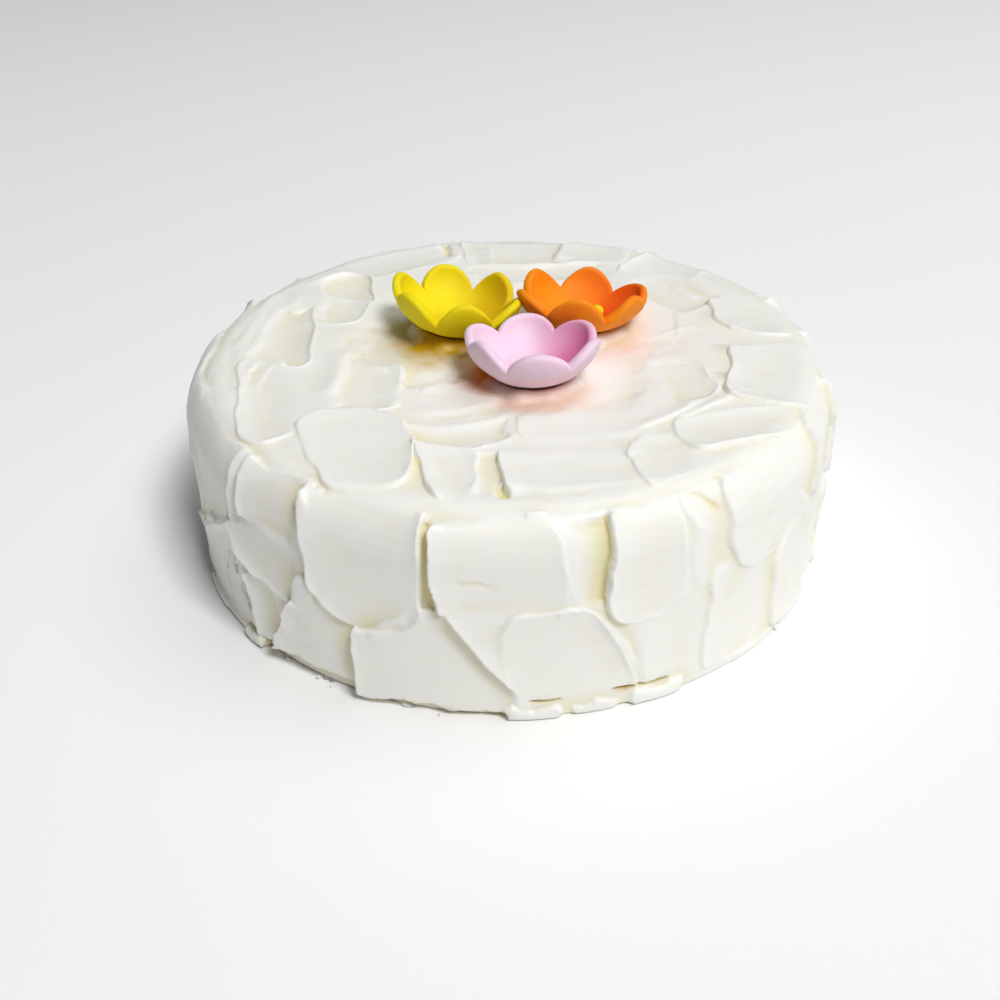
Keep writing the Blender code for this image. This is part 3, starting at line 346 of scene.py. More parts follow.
def foot_marks() -> list[Mark]:
    """Icing squeezed out along the bottom edge, in slabs, flakes and ragged gaps.

    Returns:
        The marks, the first pressed first.
    """
    return [
        side(-129, 1.8, 20, 1.9, corners=(1, 1, 1, 1), level=-1.3, bowl=(0, 0), lips=(0, 0, 0, 0),
             fade=(3, 0, 3, 0), ragged=0.5, streak=0),
        side(-104, 1.0, 20, 1.3, corners=(1, 1, 1, 1), level=-0.9, bowl=(0, 0), lips=(0, 0, 0, 0),
             fade=(2, 0, 2, 0), ragged=0.7, streak=0),
        side(-87.5, 1.2, 7.5, 2.1, corners=(2, 2, 1, 1), level=1.6, bowl=(-0.2, -0.2),
             lips=(0.3, 0.3, 0.3, 0), fade=(2, 0.6, 2.5, 0), ragged=0.9, streak=0),
        side(-67, 1.4, 7.5, 2.6, corners=(2, 2, 2, 1), level=1.6, bowl=(-0.3, -0.4),
             lips=(0.2, 0.2, 0.2, 0), fade=(1.5, 0.7, 3, 0), ragged=0.7, streak=0),
        side(-77.5, 1.2, 5.5, 1.8, corners=(1, 1, 1, 1), level=0.9, bowl=(-0.2, -0.2),
             lips=(0.2, 0.3, 0.2, 0), fade=(1, 0, 1, 0), ragged=0.8, streak=0),
        side(-139, 1.5, 3.5, 2.2, corners=(1, 1, 1, 1), level=1.6, bowl=(-0.3, -0.3),
             lips=(0.3, 0.3, 0.3, 0), fade=(0, 0.7, 0, 0), ragged=0.6, streak=0),
        side(-46, 1.2, 9, 1.9, corners=(1, 1, 1, 1), level=0.9, bowl=(-0.2, -0.2),
             lips=(0.2, 0.3, 0.2, 0), fade=(2, 0, 2, 0), ragged=0.8, streak=0),
        side(-70, 5.4, 7.5, 0.5, corners=(0.3, 0.3, 0.3, 0.3), level=-1.3, bowl=(0, 0),
             lips=(0, 0, 0, 0), fade=(3, 0.6, 3, 0.6), ragged=0.3, streak=0),
        side(-85.5, 5.2, 3.9, 0.4, corners=(0.3, 0.3, 0.3, 0.3), level=-1.1, bowl=(0, 0),
             lips=(0, 0, 0, 0), fade=(2, 0.6, 2, 0.6), ragged=0.3, streak=0),
    ]


def hidden_foot_marks() -> list[Mark]:
    """The foot of the hidden back and sides, by the same kind of rule.

    Returns:
        The marks, the first pressed first.
    """
    rng = random.Random(5)
    rows = []
    deg = -34.0
    while deg < 208:
        half = rng.uniform(4, 9)
        rows.append(side(deg, 1.2, half, rng.uniform(1.4, 2.6), corners=(1.5, 1.5, 1, 1),
                         level=rng.uniform(-0.8, 1.6), bowl=(-0.2, -0.2),
                         lips=(0.2, 0.3, 0.2, 0), fade=(1, 0, 1.5, 0), ragged=0.7, streak=0))
        deg += math.degrees(half * rng.uniform(1.5, 2.6) / RADIUS)
    return rows


def back_top_marks() -> list[Mark]:
    """The far part of the top.

    Returns:
        The marks, the first pressed first.
    """
    return [
        top(0, 0, 48, 48, 0, corners=(40, 40, 40, 40), level=-0.9, bowl=(0.3, 0.3),
            lips=(0, 0, 0, 0), fade=(14, 14, 14, 14), streak=0.03, ragged=1.5),
        top(-36, 63, 20, 10, 28, corners=(8, 6, 6, 8), level=0.2, bowl=(0.4, 0.6),
            lips=(0.1, 0.3, 0.7, 0.4), fade=(8, 3, 0, 3)),
        top(5, 72, 13, 19.5, 90, corners=(8, 6, 6, 8), level=-0.4, bowl=(0.5, 1.1),
            lips=(0.4, 1.1, 0.1, 0.9), fade=(4, 0, 3, 1)),
        top(28, 68, 9, 12, 75, corners=(5, 5, 5, 5), level=0.3, bowl=(0.4, 0.6),
            lips=(0.2, 0.5, 0.2, 0.5), fade=(4, 2, 3, 2)),
        top(52, 56, 16, 11, 48, level=0.3, bowl=(0.4, 0.8), lips=(0.2, 1.0, 0.2, 0.5),
            fade=(6, 0, 4, 3)),
        top(10, 52, 26, 8, 4, level=-0.3, bowl=(0.2, 0.5), lips=(0.1, 0.2, 0.1, 0.2),
            fade=(8, 3, 8, 4)),
    ]


def right_top_marks() -> list[Mark]:
    """The right of the top.

    Returns:
        The marks, the first pressed first.
    """
    return [
        top(50, 36, 15, 10, -60, level=-0.3, bowl=(0.4, 0.6), lips=(0.2, 0.5, 0.3, 0.3),
            fade=(6, 3, 3, 4)),
        patch(((60, 33), (81, 30), (81, 3), (60, 7)), corners=(6, 5, 6, 9), level=0.5,
              lean=(-0.4, -0.1), bowl=(0.6, 0.4), lips=(0.9, 0.2, 0.3, 0.9), fade=(0.6, 6, 4, 0.6)),
        top(44, 14, 12, 5, -94, corners=(5, 5, 5, 5), level=0.2, bowl=(0.2, -0.2),
            lips=(0.1, 0.3, 0.3, 0.3), fade=(4, 2, 3, 3)),
        patch(((60.5, -3), (84, 0), (79, -38), (56, -31)), corners=(6, 5, 12, 4), level=0.5,
              lean=(-0.4, -0.1), bowl=(0.8, 0.5), lips=(1.1, 0.4, 0.3, 0.8), fade=(0, 2, 4, 0.7)),
        patch(((33, -6), (52, -8), (55, -32), (37, -37)), corners=(8, 9, 10, 9), level=-0.2,
              lean=(0.2, 0), bowl=(0.9, 0.6), lips=(0.1, 0.3, 0.9, 0.4), fade=(9, 5, 0.9, 3)),
    ]


def left_top_marks() -> list[Mark]:
    """The left of the top.

    Returns:
        The marks, the first pressed first.
    """
    return [
        patch(((-58, 53), (-41, 55), (-40, 30), (-56, 35)), corners=(7, 9, 3, 5), level=-0.6,
              bowl=(0.5, 0.7), lips=(0.3, 0.7, 0.8, 0.2), fade=(2, 0.8, 0.8, 5)),
        patch(((-57, 42), (-42, 36), (-42.5, 16), (-56.5, 16)), corners=(4, 4, 6.5, 6.5), level=-0.3,
              bowl=(0.8, 0.5), lips=(0.3, 0.1, 0.5, 1.1), fade=(4, 9, 1.5, 0)),
        top(-70, 20, 22, 6, -98, corners=(5, 5, 5, 5), level=0.5, bowl=(0.2, 0.4),
            lips=(0.1, 0.1, 0.4, 0.3), fade=(8, 2, 3, 3)),
        patch(((-69, 31), (-56.5, 31), (-54, -13), (-73, -9)), corners=(6, 6, 9, 5), level=-0.4,
              bowl=(1.0, 0.2), lips=(0.4, 0.1, 0.9, 0.6), fade=(3, 12, 1.4, 1.2)),
        patch(((-46, -3), (-28, -6), (-27.5, -37), (-48, -37)), corners=(5, 6, 8, 6), level=0.0,
              lean=(0.3, 0.3), bowl=(0.9, 0.5), lips=(0.1, 0.1, 0.7, 0.8), fade=(6, 9, 1.5, 1.4),
              bend=1.0),
        patch(((-75, -5), (-58, -7), (-50, -46), (-65.5, -55)), corners=(10, 4, 10, 8), level=0.3,
              lean=(0.3, 0.1), bowl=(0.9, 0.6), lips=(1.0, 0.6, 0.1, 1.2), fade=(0.8, 1.4, 9, 0.6),
              ragged=0.2),
        patch(((-58, -36), (-26, -36), (-21.5, -74), (-43.5, -73)), corners=(11, 15, 11, 4),
              level=0.8, lean=(0.2, 0.4), bowl=(0.7, 0.8), lips=(0.6, 0.8, 1.2, 0.4),
              fade=(0.9, 0.9, 0, 2.5), ragged=0.3),
    ]


def front_top_marks() -> list[Mark]:
    """The near part of the top, as far as the front rim.

    Returns:
        The marks, the first pressed first.
    """
    return [
        top(-16, -28, 16, 10, 20, corners=(7, 7, 7, 7), level=0.0, bowl=(0.3, 0.4),
            lips=(0.2, 0.2, 0.2, 0.3), fade=(5, 5, 5, 4)),
        patch(((-29, -42), (3, -36), (2, -50), (-21, -58)), corners=(5, 4, 5, 7), level=-0.2,
              bowl=(0.3, 0.9), lips=(0.6, 0.6, 0.1, 0.8), fade=(2, 3, 10, 1.0), bend=-2.5),
        patch(((1, -36), (30, -34), (39, -52), (2, -52)), corners=(7, 7, 6, 5), level=0.5,
              lean=(-0.1, -0.2), bowl=(0.1, 0.2), lips=(0.7, 0.1, 0.3, 0.4), fade=(1.8, 9, 5, 3),
              ragged=0.3),
        patch(((-9.5, -57), (-2, -58), (-1.5, -78), (-9, -77)), corners=(2, 2, 2, 2), level=-0.2,
              bowl=(0.3, 0.3), lips=(0.1, 0.3, 0.1, 0.1), fade=(2, 2.5, 1.5, 3), ragged=0.9),
        patch(((-5, -71), (-1, -71), (-1, -78), (-4, -78)), corners=(1, 1, 1, 1), level=-1.1,
              bowl=(0, 0), lips=(0, 0, 0, 0), fade=(1.5, 4, 0.8, 2)),
        patch(((-25, -52), (-8, -56.5), (-8, -77), (-17.5, -80)), corners=(2, 4, 6, 8), level=0.5,
              lean=(-0.5, 0.2), bowl=(0.6, 0.4), lips=(1.3, 0.9, 0.7, 0.2), fade=(0, 1, 0.8, 4),
              ragged=0.5),
        patch(((26, -56), (37, -47), (48, -62), (32, -74)), corners=(4, 5, 6, 4), level=0.3,
              lean=(-0.2, 0.2), bowl=(0.4, 0.5), lips=(0.9, 0.6, 0.3, 0.4), fade=(0.6, 2, 3, 3),
              ragged=0.9),
        patch(((-3, -56.5), (27, -57.5), (31.5, -72), (-1.5, -78)), corners=(4, 6, 3, 4), level=0.6,
              lean=(-0.4, 0.1), bowl=(0.3, 0.6), lips=(1.2, 0.4, 0.6, 0.3), fade=(0, 3.5, 1.2, 5),
              ragged=0.4),
        patch(((39, -42), (73, -35), (73, -46), (43, -61)), corners=(4, 5, 8, 7), level=0.4,
              lean=(-0.3, -0.1), bowl=(0.3, 0.7), lips=(0.7, 0.6, 0.2, 0.9), fade=(0.7, 2, 5, 0.7),
              ragged=0.4),
    ]


def side_crests() -> list[tuple]:
    """Thin folds on the side: from and to in degrees and height, rise, sharp and soft width, bow.

    Returns:
        The marks, the first pressed first.
    """
    rows = []
    for from_deg, from_z, to_deg, to_z, high, sharp, soft, bow in (
        (-125, 57, -123.2, 52, 0.8, 0.5, 1.5, 0),
        (-113, 21, -107, 29, 0.6, 0.5, 2.2, 0.6),
        (-77, 29, -71, 12, 0.7, 0.6, 2.2, 0.5),
        (-99, 40.5, -92.5, 39.5, -0.35, 0.5, 0.9, 0.4),
        (-61.5, 56, -57, 50, -0.6, 0.6, 1.6, 0.5),
        (-63, 52, -60.5, 47, 0.5, 0.5, 1.2, -0.5),
        (-55.6, 58, -53.6, 55.5, -0.6, 0.6, 0.9, 0),
        (-36, 40, -26, 22, 0.8, 0.6, 2.5, 1),
        (-37, 20, -31, 2, 0.7, 0.6, 2.5, 0.5),
        (-160, 17, -140, 38, 0.7, 0.6, 2.0, 1),
        (-88.5, 57.5, -85, 57, 0.6, 0.8, 0.9, 0),
        (-84, 30.5, -80.5, 32.5, 0.4, 0.4, 1.2, 0.5),
    ):
        begin = (math.radians(from_deg + 90) * RADIUS, from_z)
        end = (math.radians(to_deg + 90) * RADIUS, to_z)
        rows.append((begin, end, high, sharp, soft, bow))
    return rows


def top_crests() -> list[tuple]:
    """Thin folds on the top: from and to in x and y, rise, sharp and soft width, bow.

    Returns:
        The marks, the first pressed first.
    """
    return [
        ((49, -33.5), (30.5, -48), 0.7, 0.5, 2.5, 1.0),
        ((58, -31), (41, -43), 0.6, 0.5, 2.2, 0.8),
        ((-20, 79), (-18, 67), -1.2, 1.0, 1.6, 0),
        ((-5, 76), (-4, 61), 0.7, 0.6, 2.5, 0),
        ((-68.5, -7), (-70.3, -27), 0.45, 0.5, 2.2, -1),
        ((-64, -9), (-66, -24), 0.3, 0.5, 1.8, -1),
        ((-45.5, -3), (-47, -27), 0.7, 1.4, 3.2, 0.8),
        ((-38, -10), (-33, -13), 0.4, 0.4, 1.5, 0.5),
        ((-23.5, -26), (-15, -15.5), 0.4, 0.4, 1.8, 0.5),
        ((-24, -12), (-10, -20), 0.4, 0.5, 2.0, 1),
        ((-14, -24), (-3, -30), 0.3, 0.5, 2.0, -1),
        ((57, 31), (50, 42), 0.5, 0.6, 2.4, 1),
        ((43, 6), (55, 10), 0.4, 0.5, 2.2, 1.5),
        ((-62, 46), (-50, 57), 0.5, 0.6, 3.0, 1),
    ]


def wave(a: np.ndarray, b: np.ndarray, size: float, seed: int, rows: int = 5) -> np.ndarray:
    """Smooth noise of that spacing, between about -1 and 1, from a few sine waves.

    Args:
        a: First coordinate.
        b: Second coordinate.
        size: Spacing of the waves.
        seed: Seed of their directions.
        rows: How many waves.

    Returns:
        The noise at each place.
    """
    rng = random.Random(seed)
    total = np.zeros_like(a)
    for _ in range(rows):
        way = rng.uniform(0, math.pi)
        pace = 2 * math.pi / (size * rng.uniform(0.7, 1.5))
        shift = rng.uniform(0, 2 * math.pi)
        total += np.sin(pace * (a * math.cos(way) + b * math.sin(way)) + shift)
    return total / rows * 1.4


def wrapped(arc: np.ndarray) -> np.ndarray:
    """An arc difference brought into half a turn either way."""
    half = math.pi * RADIUS
    return (arc + half) % (2 * half) - half


def stamp(height: np.ndarray, arc: np.ndarray, rise: np.ndarray, mark: Mark, wraps: bool) -> None:
    """Presses one mark into the height field.

    Args:
        height: The height field, which is changed.
        arc: First coordinate of each point.
        rise: Second coordinate of each point.
        mark: The mark.
        wraps: Whether arc goes round the cake.
    """
    reach = max(math.hypot(*corner) for corner in mark.quad or ((mark.ha, mark.hb),))
    reach += abs(mark.bend) + REACH_SPARE
    da = arc - mark.a
    if wraps:
        da = wrapped(da)
    near = np.nonzero((np.abs(da) < reach) & (np.abs(rise - mark.b) < reach))
    if not len(near[0]):
        return
    da = da[near]
    db = rise[near] - mark.b
    c = math.cos(math.radians(mark.turn))
    s = math.sin(math.radians(mark.turn))
    flat_u = da * c + db * s
    flat_v = db * c - da * s
    seed = int(1000 + mark.a * 13 + mark.b * 7)
    broad = BROAD_WOBBLE * (mark.ha + mark.hb)
    fine = FINE_SHARE * mark.ragged
    u = flat_u + broad * wave(flat_v, flat_u, BROAD_SPACING, seed + 3, 3)
    v = flat_v + broad * wave(flat_u, flat_v, BROAD_SPACING, seed + 4, 3)
    u += mark.ragged * wave(flat_v, flat_u, RAGGED_SPACING, seed)
    u += fine * wave(flat_v, flat_u, FINE_SPACING, seed + 2)
    v += mark.ragged * wave(flat_u, flat_v, RAGGED_SPACING, seed + 1)
    v += fine * wave(flat_u, flat_v, FINE_SPACING, seed + 6)
    if mark.quad:
        u, v = boxed(u, v, mark)
    v -= mark.bend * (1 - (u / mark.ha) ** 2)
    start_left, end_left, end_right, start_right = mark.corners
    radius = np.where(u > 0, np.where(v > 0, end_left, end_right),
                      np.where(v > 0, start_left, start_right)).astype(float)
    radius = np.minimum(radius, min(mark.ha, mark.hb))
    qu = np.abs(u) - mark.ha + radius
    qv = np.abs(v) - mark.hb + radius
    mu = np.maximum(qu, 0)
    mv = np.maximum(qv, 0)
    out = np.hypot(mu, mv)
    depth = np.minimum(np.maximum(qu, qv), 0) + out - radius
    inner = 1 / (1 + np.exp(np.clip((qv - qu) / CORNER_BLEND, -30, 30)))
    share = np.where(out > 1e-6, (mu / np.where(out > 1e-6, out, 1)) ** 2, inner)
    along = np.where(u < 0, mark.lips[0], mark.lips[2])
    across = np.where(v > 0, mark.lips[1], mark.lips[3])
    lip = LIP_RISE * (share * along + (1 - share) * across)
    lip *= 1 + LIP_UNEVEN * wave(flat_u, flat_v, LIP_SPACING, seed + 5)
    along = np.where(u < 0, mark.fade[0], mark.fade[2])
    across = np.where(v > 0, mark.fade[1], mark.fade[3])
    fade = np.maximum(share * along + (1 - share) * across, 2 * EDGE_SOFT)
    lip *= np.clip(1.1 - fade / FADE_KEEPS_LIP, 0.1, 1)
    shape = np.exp(-np.where(depth < 0, -depth / mark.lip_w, (depth / LIP_OUTER) ** 2))
    un = u / mark.ha
    vn = v / mark.hb
    surface = mark.level + mark.lean[0] * un + mark.lean[1] * vn
    surface += DISH * (mark.bowl[0] * (un ** 2 - 0.4) + mark.bowl[1] * (vn ** 2 - 0.4))
    swing = 1 - STREAK_SWING + STREAK_SWING * wave(flat_u, flat_v, SWING_SPACING, seed + 8)
    surface += mark.streak * swing * wave(u * STREAK_DRAW, v, STREAK_SPACING, seed + 7)
    cover = np.clip((EDGE_SOFT - depth) / fade, 0, 1)
    cover = cover * cover * (3 - 2 * cover)
    here = height[near]
    height[near] = here + cover * (surface - here) + lip * shape


def boxed(u: np.ndarray, v: np.ndarray, mark: Mark) -> tuple:
    """Brings the places in a four-sided mark to those in its box, by a few Newton steps.

    Args:
        u: Places along the mark.
        v: Places across it.
        mark: The mark.

    Returns:
        The places along and across the box.
    """
    (ax, ay), (bx, by), (cx, cy), (dx, dy) = mark.quad
    s = np.clip(u / mark.ha, -2, 2)
    t = np.clip(v / mark.hb, -2, 2)
    for _ in range(6):
        start = (1 - s) / 2
        end = (1 + s) / 2
        right = (1 - t) / 2
        left = (1 + t) / 2
        off_x = start * left * ax + end * left * bx + end * right * cx + start * right * dx - u
        off_y = start * left * ay + end * left * by + end * right * cy + start * right * dy - v
        xs = (left * (bx - ax) + right * (cx - dx)) / 2
        ys = (left * (by - ay) + right * (cy - dy)) / 2
        xt = (start * (ax - dx) + end * (bx - cx)) / 2
        yt = (start * (ay - dy) + end * (by - cy)) / 2
        area = xs * yt - xt * ys
        area = np.where(np.abs(area) < 1, 1, area)
        s = np.clip(s - (off_x * yt - off_y * xt) / area, -2, 2)
        t = np.clip(t - (off_y * xs - off_x * ys) / area, -2, 2)
    return s * mark.ha, t * mark.hb


def crest(height: np.ndarray, arc: np.ndarray, rise: np.ndarray, begin: tuple, end: tuple,
          high: float, sharp: float, soft: float, bow: float) -> None:
    """Raises a thin fold from one point to another, or with a negative rise a crease.

    Args:
        height: The height field, which is changed.
        arc: First coordinate of each point.
        rise: Second coordinate of each point.
        begin: Where it starts.
        end: Where it ends.
        high: Its height.
        sharp: Width of its left flank.
        soft: Width of its right flank.
        bow: How far its middle stands to the left.
    """
    length = math.hypot(end[0] - begin[0], end[1] - begin[1])
    cx = (end[0] - begin[0]) / length
    cy = (end[1] - begin[1]) / length
    u = (arc - begin[0]) * cx + (rise - begin[1]) * cy
    v = (rise - begin[1]) * cx - (arc - begin[0]) * cy
    t = np.clip(u / length, 0, 1)
    seed = int(900 + begin[0] * 3 + end[1])
    v = v - bow * 4 * t * (1 - t) + FOLD_WAVER * wave(arc, rise, FOLD_SPACING, seed, 3)
    past = np.maximum(np.maximum(-u, u - length), 0)
    ends = np.clip(1 - past / FOLD_END, 0, 1) * np.clip(np.minimum(t, 1 - t) * 5 + 0.25, 0, 1)
    height += high * np.exp(-(v / np.where(v > 0, sharp, soft)) ** 2) * ends


def rim_curve() -> tuple:
    """The rim's angle, radius, height and running length, as it turns from side to top."""
    angle = np.linspace(0, math.pi / 2, 160)
    r = RADIUS - RIM_INSET * (1 - np.cos(angle))
    z = RIM_START + (HEIGHT - RIM_START) * np.sin(angle)
    run = np.concatenate([[0], np.cumsum(np.hypot(np.diff(r), np.diff(z)))])
    return angle, r, z, run


def smooth_form(run: np.ndarray) -> tuple:
    """Works out the smooth cake.

    Args:
        run: Running length up its side, over its rim and in across its top.

    Returns:
        Radius, height and the two parts of the outward direction.
    """
    angle, rim_r, rim_z, rim_run = rim_curve()
    past = np.clip(run - RIM_START, 0, rim_run[-1])
    turned = np.interp(past, rim_run, angle)
    r = np.interp(past, rim_run, rim_r) - np.maximum(run - RIM_START - rim_run[-1], 0)
    z = np.where(run < RIM_START, run, np.interp(past, rim_run, rim_z))
    out_r = np.cos(turned) / RIM_INSET
    out_z = np.sin(turned) / (HEIGHT - RIM_START)
    size = np.hypot(out_r, out_z)
    return r, z, out_r / size, out_z / size


def knife_relief(angle: np.ndarray, run: np.ndarray) -> np.ndarray:
    """Presses all the marks, in their order.

    Args:
        angle: Angle of each point round the cake.
        run: Running length of each point.

    Returns:
        Height of the knife work over the smooth cake.
    """
    arc = angle_arc(angle)
    flat_start = RIM_START + rim_curve()[3][-1]
    chart_r = RADIUS - RIM_INSET + flat_start - run
    x = chart_r * np.cos(angle)
    y = chart_r * np.sin(angle)
    height = SWELL * wave(RADIUS * np.cos(angle) + 0.7 * run, RADIUS * np.sin(angle), SWELL_SPACING, 3)
    height = BASE_LEVEL + height * np.clip(chart_r / SWELL_FREE, 0, 1)
    on_side = run < flat_start + SIDE_OVER_TOP
    part = height[on_side]
    part_arc = arc[on_side]
    part_run = run[on_side]
    for mark in hidden_side_marks() + left_side_marks() + front_side_marks():
        stamp(part, part_arc, part_run, mark, True)
    for fold in side_crests():
        crest(part, part_arc, part_run, *fold)
    for mark in rim_marks() + hidden_foot_marks() + foot_marks():
        stamp(part, part_arc, part_run, mark, True)
    height[on_side] = part
    on_top = run > RIM_START
    part = height[on_top]
    part_x = x[on_top]
    part_y = y[on_top]
    for mark in back_top_marks() + right_top_marks() + left_top_marks() + front_top_marks():
        stamp(part, part_x, part_y, mark, False)
    for fold in top_crests():
        crest(part, part_x, part_y, *fold)
    for spot in BLOSSOMS:
        part = nest(part, part_x, part_y, spot)
    height[on_top] = part
    return height


def angle_arc(angle: np.ndarray) -> np.ndarray:
    """Arc on the side from the front, which faces -Y, in millimetres."""
    return wrapped((angle + math.pi / 2) * RADIUS)


def nest(height: np.ndarray, x: np.ndarray, y: np.ndarray, spot: "Blossom") -> np.ndarray:
    """Presses a blossom into the icing: under it the icing follows its underside, with a gap, and
    round it a low uneven collar is pushed up.

    Args:
        height: The height field.
        x: Places to the right.
        y: Places to the back.
        spot: The blossom.

    Returns:
        The changed height field.
    """
    dx = x - spot.x
    dy = y - spot.y
    far = np.hypot(dx, dy)
    run, _, cup_r, cup_z = spot.curve()
    slope = np.gradient(cup_z, run)
    under_r = cup_r + slope * spot.thick
    under_z = cup_z + spot.thick * (1 - np.sqrt(1 - slope ** 2))
    tilt = dy * math.sin(math.radians(spot.tip_x)) - dx * math.sin(math.radians(spot.tip_y))
    under = np.interp(far, under_r, under_z) + tilt
    near = far < NEST_REACH + REACH_SPARE
    lowest = under[near].min()
    under = under - lowest + spot.rest - HEIGHT
    reach = NEST_REACH + 0.7 * wave(x, y, 8.0, int(10 * spot.spin)) + 0.1 * wave(x, y, 3.0, 77)
    share = np.clip((reach + NEST_FADE / 2 - far) / NEST_FADE, 0, 1)
    share = share * share * (3 - 2 * share)
    free = np.where(near, np.minimum(height, under), height)
    return np.where(near, free + share * (under - free), height)


class Gloss(Enum):
    """How wet a surface looks, as its roughness."""

    SATIN = 0.42
    POWDERED = 0.66
    DRY = 0.85


def linear(code: str) -> tuple:
    """Turns an sRGB hex colour to linear.

    Args:
        code: The colour, such as "#F4F1E4".

    Returns:
        Red, green, blue and alpha.
    """
    parts = [int(code[i:i + 2], 16) / 255 for i in (1, 3, 5)]
    return tuple(c / 12.92 if c <= 0.04045 else ((c + 0.055) / 1.055) ** 2.4 for c in parts) + (1.0,)


def add_node(tree: bpy.types.NodeTree, kind: str, settings: dict | None = None,
             links: dict | None = None) -> bpy.types.Node:
    """Adds a node with its settings and links.

    Args:
        tree: The node tree.
        kind: The node's type name.
        settings: Node properties by name, and socket values by socket name or number.
        links: Sockets that feed this node's inputs, by input name or number.

    Returns:
        The new node.
    """
    node = tree.nodes.new(kind)
    for key, value in (settings or {}).items():
        if isinstance(key, str) and hasattr(node, key):
            setattr(node, key, value)
        else:
            node.inputs[key].default_value = value
    for key, source in (links or {}).items():
        tree.links.new(source, node.inputs[key])
    return node


def start_material(name: str, gloss: Gloss) -> tuple:
    """Makes a node material with a Principled shader.

    Args:
        name: What the real material is.
        gloss: How wet it looks.

    Returns:
        The material, its node tree and its shader.
    """
    made = bpy.data.materials.new(name)
    made.use_nodes = True
    tree = made.node_tree
    shader = tree.nodes["Principled BSDF"]
    shader.inputs["Roughness"].default_value = gloss.value
    return made, tree, shader


@dataclass(frozen=True)
class Buttercream:
    """Whipped buttercream, spread with a palette knife.

    Fat and air make it pale cream and slightly see-through: thin lips glow, and deep gaps turn
    yellow because light that has gone through more icing comes back there. That yellow is painted
    shade here, mixed into the base colour where the icing lies below its neighbours.
    """

    cream: str = "#F6F5EE"
    # Painted shade: the yellow cream mixed in where the icing lies below its neighbours
    deep: str = "#E8DFAC"
    # Stains of colour run from the blossoms, together with painted shade that the blossoms cast,
    # tinted by their reflected colour
    yellow_stain_and_shade: str = "#D0A60C"
    orange_stain_and_shade: str = "#E67208"
    pink_stain_and_shade: str = "#EEC6B6"
    sponge: str = "#BC9A4C"
    light_depth: float = 3.2
    grain: float = 1.1
    uneven: float = 9.0

    def make(self) -> bpy.types.Material:
        """Builds the material, whose painted shade in hollows, stains with painted coloured shade and
        sponge come from the icing's own attributes.

        Returns:
            The material.
        """
        made, tree, shader = start_material("vanilla_buttercream", Gloss.SATIN)
        colour = add_node(tree, "ShaderNodeRGB").outputs[0]
        colour.default_value = linear(self.cream)
        # Painted shade in the hollows first, then the stains with their painted coloured shade, then
        # the sponge
        for name, tint in (("depth", self.deep), ("yellow_stain_and_shade", self.yellow_stain_and_shade),
                           ("pink_stain_and_shade", self.pink_stain_and_shade), ("orange_stain_and_shade", self.orange_stain_and_shade),
                           ("sponge", self.sponge)):
            share = add_node(tree, "ShaderNodeAttribute", {"attribute_name": name})
            colour = add_node(tree, "ShaderNodeMix", {"data_type": "RGBA", 7: linear(tint)},
                              {0: share.outputs["Fac"], 6: colour}).outputs[2]
        tree.links.new(colour, shader.inputs["Base Color"])
        shader.inputs["Subsurface Weight"].default_value = 0.55
        shader.inputs["Subsurface Radius"].default_value = (1.0, 0.92, 0.62)
        shader.inputs["Subsurface Scale"].default_value = self.light_depth * MM
        shader.inputs["IOR"].default_value = 1.42
        place = add_node(tree, "ShaderNodeTexCoord").outputs["Object"]
        # Air bubbles and sugar leave a faint grain of about a millimetre.
        grain = add_node(tree, "ShaderNodeTexNoise", {"Scale": 1 / (self.grain * MM), "Detail": 3.0},
                         {"Vector": place})
        # The knife leaves broad patches that are a little glossier or duller.
        soft = add_node(tree, "ShaderNodeTexNoise", {"Scale": 1 / (self.uneven * MM), "Detail": 2.0},
                        {"Vector": place})
        both = add_node(tree, "ShaderNodeMath", {"operation": "MULTIPLY_ADD", 1: 0.25},
                        {0: grain.outputs["Fac"], 2: soft.outputs["Fac"]})
        bump = add_node(tree, "ShaderNodeBump", {"Strength": 0.25, "Distance": 0.25 * MM},
                        {"Height": both.outputs[0]})
        tree.links.new(bump.outputs[0], shader.inputs["Normal"])
        rough = add_node(tree, "ShaderNodeMapRange",
                         {"To Min": Gloss.SATIN.value - 0.06, "To Max": Gloss.SATIN.value + 0.08},
                         {"Value": soft.outputs["Fac"]})
        tree.links.new(rough.outputs[0], shader.inputs["Roughness"])
        return made


